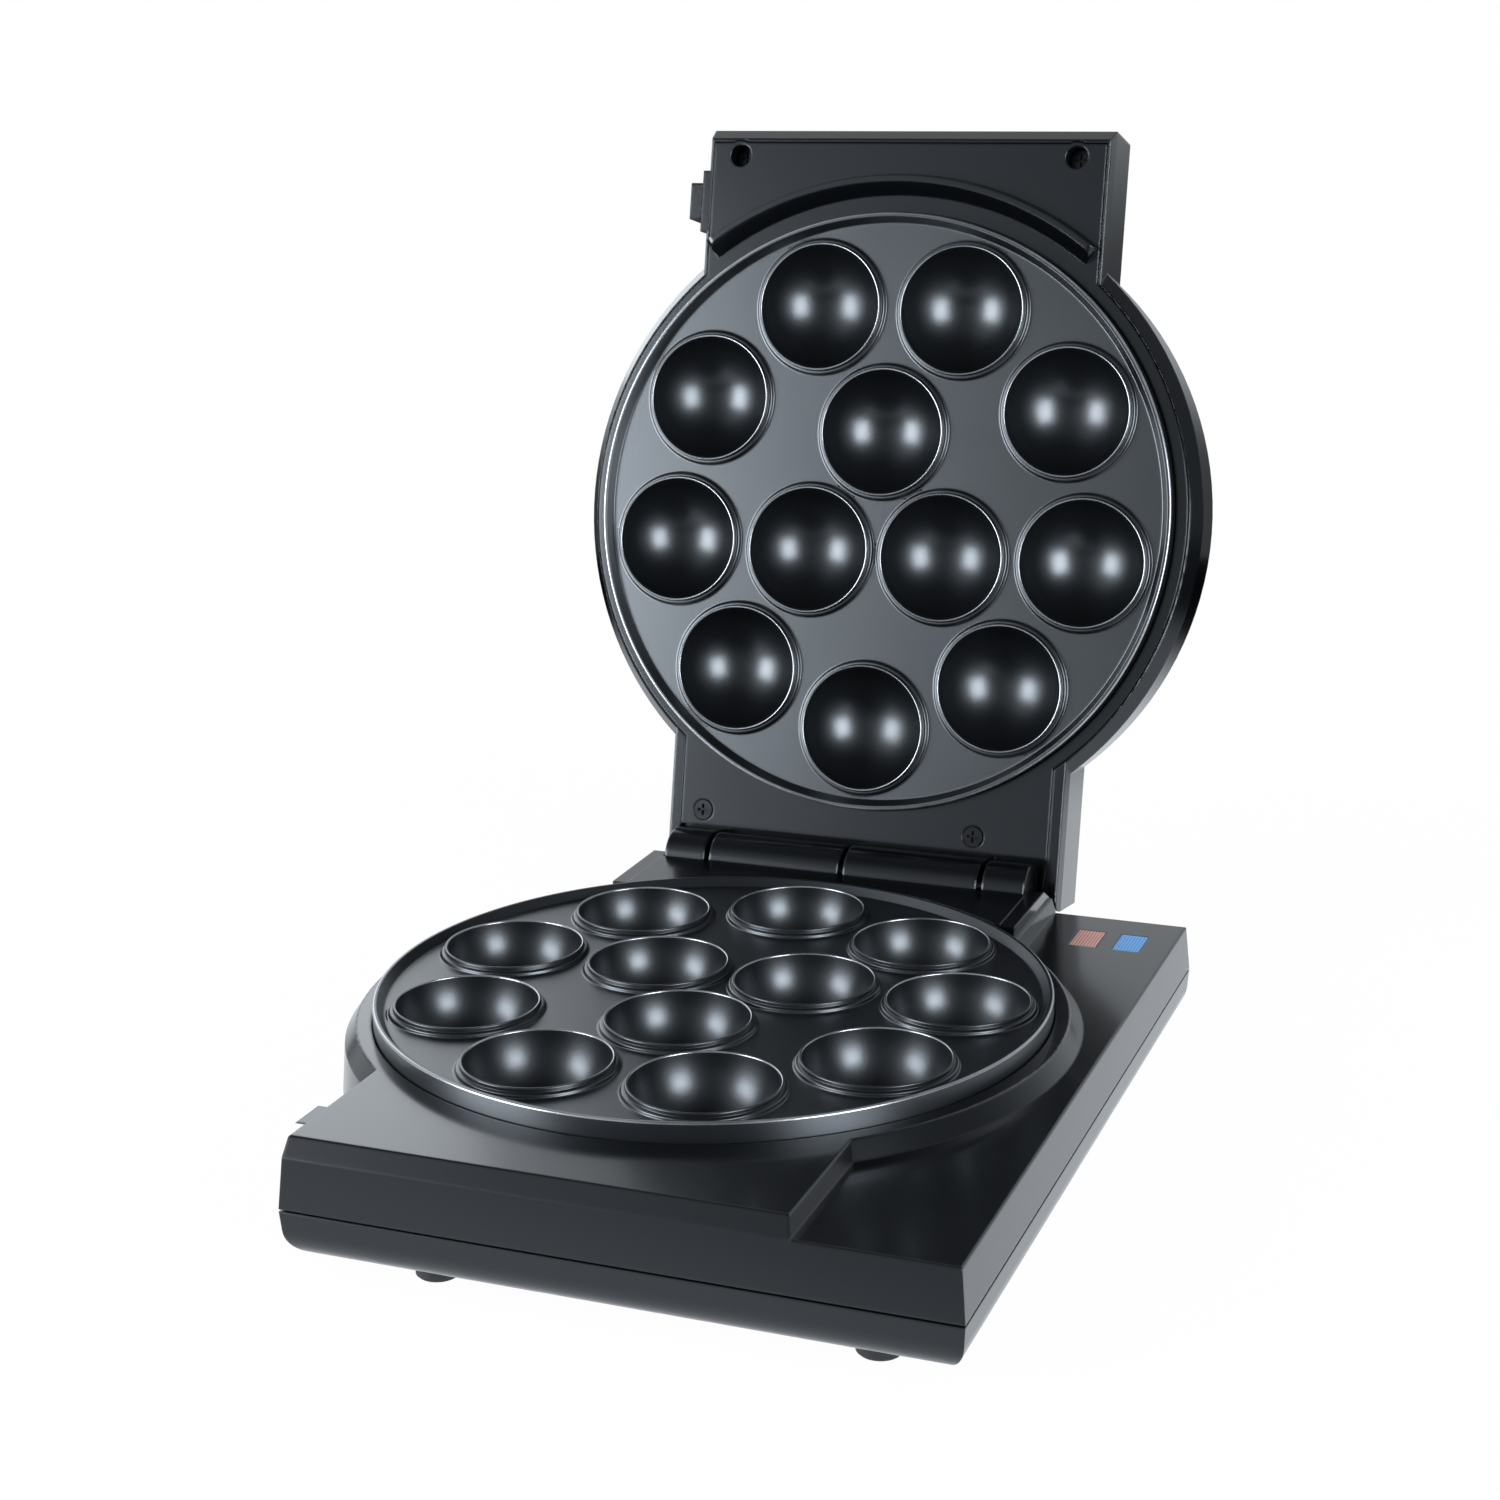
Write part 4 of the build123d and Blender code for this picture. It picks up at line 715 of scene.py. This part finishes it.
def set_camera(scene, settings):
    """Camera turned round the upright, raised above level, rolled about its line of sight, and placed."""
    turn, rise, roll = settings.camera_turn, settings.camera_rise, settings.camera_roll
    back = Vector((math.sin(turn) * math.cos(rise), -math.cos(turn) * math.cos(rise), math.sin(rise)))
    right = Vector((math.cos(turn), math.sin(turn), 0))
    up = back.cross(right)
    across = right * math.cos(roll) + up * math.sin(roll)
    upright = up * math.cos(roll) - right * math.sin(roll)
    view = bpy.data.cameras.new("photo_view")
    view.lens, view.sensor_width = settings.focal, SENSOR_MM
    view.clip_start, view.clip_end = CLIP_START, CLIP_END
    camera = bpy.data.objects.new("photo_view", view)
    scene.collection.objects.link(camera)
    axes = Matrix((across, upright, back)).transposed().to_4x4()
    camera.matrix_world = Matrix.Translation(Vector(settings.camera_place)) @ axes
    scene.camera = camera


# ---------------------------------------------------------------- operators


class CAKEPOP_OT_solids(bpy.types.Operator):
    """Give every solid its finish"""

    bl_idname = "cakepop.solids"
    bl_label = "Finish the solids"

    def execute(self, context):
        colours = context.scene.cakepop_finish
        plastic, coating = tuple(colours.plastic_colour), tuple(colours.coating_colour)
        red, blue = tuple(colours.red_colour), tuple(colours.blue_colour)
        finishes = {
            "gloss_black": moulded_plastic("moulded_plastic", plastic, rough=0.20, grain=0.02, scuff=0.05),
            "tray_black": moulded_plastic("tray_plastic", plastic, rough=0.22, grain=0.04, scuff=0.06),
            "nonstick": coated_cast("cast_coating", coating),
            "element_steel": plain_metal(
                "element_sheath", (0.30, 0.28, 0.26), rough=0.45, stretch=(1, 1, 8)),
            "reflector_sheet": plain_metal(
                "reflector_sheet", (0.75, 0.75, 0.76), rough=0.30, stretch=(8, 1, 1)),
            "bright_steel": plain_metal("pin_steel", (0.60, 0.60, 0.61), rough=0.22, stretch=(1, 12, 12)),
            "dark_steel": plain_metal("screw_steel", (0.03, 0.031, 0.034), rough=0.25, stretch=(1, 1, 6)),
            "rubber": dull_solid("foot_rubber", (0.014, 0.014, 0.015), rough=0.62, grain=0.3),
            "lens_red": lamp_window("red_window", red, frame["nodes"]["heating_lamp_lens"]),
            "lens_blue": lamp_window("blue_window", blue, frame["nodes"]["ready_lamp_lens"]),
            "lamp_glass": lamp_glass("glow_lamp_glass"),
            "ceramic": dull_solid("ceramic", (0.70, 0.68, 0.62), rough=0.5, grain=0.2),
            "thermostat_metal": plain_metal("thermostat_can", (0.6, 0.6, 0.6), rough=0.35, stretch=(1, 1, 1)),
        }
        for name, solid in frame["nodes"].items():
            solid.data.materials.clear()
            solid.data.materials.append(finishes[slot_of[name]])
        return {"FINISHED"}


class CAKEPOP_OT_plates(bpy.types.Operator):
    """Cast the lower and the upper plate"""

    bl_idname = "cakepop.plates"
    bl_label = "Cast plates"

    def execute(self, context):
        points, faces, highlight_marks = plate_surface(context.scene.cakepop_plate)
        # second material: a painted highlight on the lips and rim, with a cloud of wear
        edge = highlight_and_wear_edge("cast_edge_highlight")
        for name, node, body, placed, flip in (
            ("lower_plate_cast", "lower_plate", "base", points, False),
            ("upper_plate_cast", "upper_plate", "lid", swing(mirror_up(points)), True),
        ):
            piece = build_mesh(name, placed, faces, highlight_marks, flip)
            piece.data.materials.append(bpy.data.materials["cast_coating"])
            piece.data.materials.append(edge)
            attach(piece, body)
            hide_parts(node)
        return {"FINISHED"}


class CAKEPOP_OT_gland(bpy.types.Operator):
    """Mould the gland that the cord leaves through"""

    bl_idname = "cakepop.gland"
    bl_label = "Cord gland"

    def execute(self, context):
        solid = frame["nodes"]["cord_gland"]
        corners = np.array([solid.matrix_world @ corner.co for corner in solid.data.vertices]) / MM
        points, faces = gland_surface(corners.min(axis=0), corners.max(axis=0))
        piece = build_mesh("cord_gland_collar", points, faces, np.zeros(len(faces), bool))
        piece.data.materials.append(solid.data.materials[0])
        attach(piece, "base")
        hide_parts("cord_gland")
        return {"FINISHED"}


class CAKEPOP_OT_stage(bpy.types.Operator):
    """Set the floor, the light and the camera"""

    bl_idname = "cakepop.stage"
    bl_label = "Stage"

    def execute(self, context):
        scene = context.scene
        scene.view_settings.view_transform = "Standard"
        lay_floor(scene, cad_box[0][2])
        light_world(scene)
        hang_lamps(scene)
        set_camera(scene, scene.cakepop_stage)
        return {"FINISHED"}


class CAKEPOP_PT_panel(bpy.types.Panel):
    """Buttons for the pieces, in the 3D view's sidebar"""

    bl_label = "Cake pop maker"
    bl_idname = "CAKEPOP_PT_panel"
    bl_space_type = "VIEW_3D"
    bl_region_type = "UI"
    bl_category = "Cake Pops"

    def draw(self, context):
        for operator in OPERATORS:
            self.layout.operator(operator.bl_idname)


OPERATORS = (CAKEPOP_OT_solids, CAKEPOP_OT_plates, CAKEPOP_OT_gland, CAKEPOP_OT_stage)
SETTINGS = (
    ("cakepop_plate", PlateSettings),
    ("cakepop_finish", FinishSettings),
    ("cakepop_stage", StageSettings),
)


def register():
    """Registers the settings, the operators and the panel."""
    for name, group in SETTINGS:
        bpy.utils.register_class(group)
        setattr(bpy.types.Scene, name, PointerProperty(type=group))
    for cls in (*OPERATORS, CAKEPOP_PT_panel):
        bpy.utils.register_class(cls)


def unregister():
    """Takes them away again."""
    for cls in (*OPERATORS, CAKEPOP_PT_panel):
        bpy.utils.unregister_class(cls)
    for name, group in SETTINGS:
        delattr(bpy.types.Scene, name)
        bpy.utils.unregister_class(group)


def main():
    register()
    bpy.ops.cakepop.solids()
    bpy.ops.cakepop.plates()
    bpy.ops.cakepop.gland()
    bpy.ops.cakepop.stage()
    bpy.context.view_layer.update()


if __name__ == "__main__":
    main()
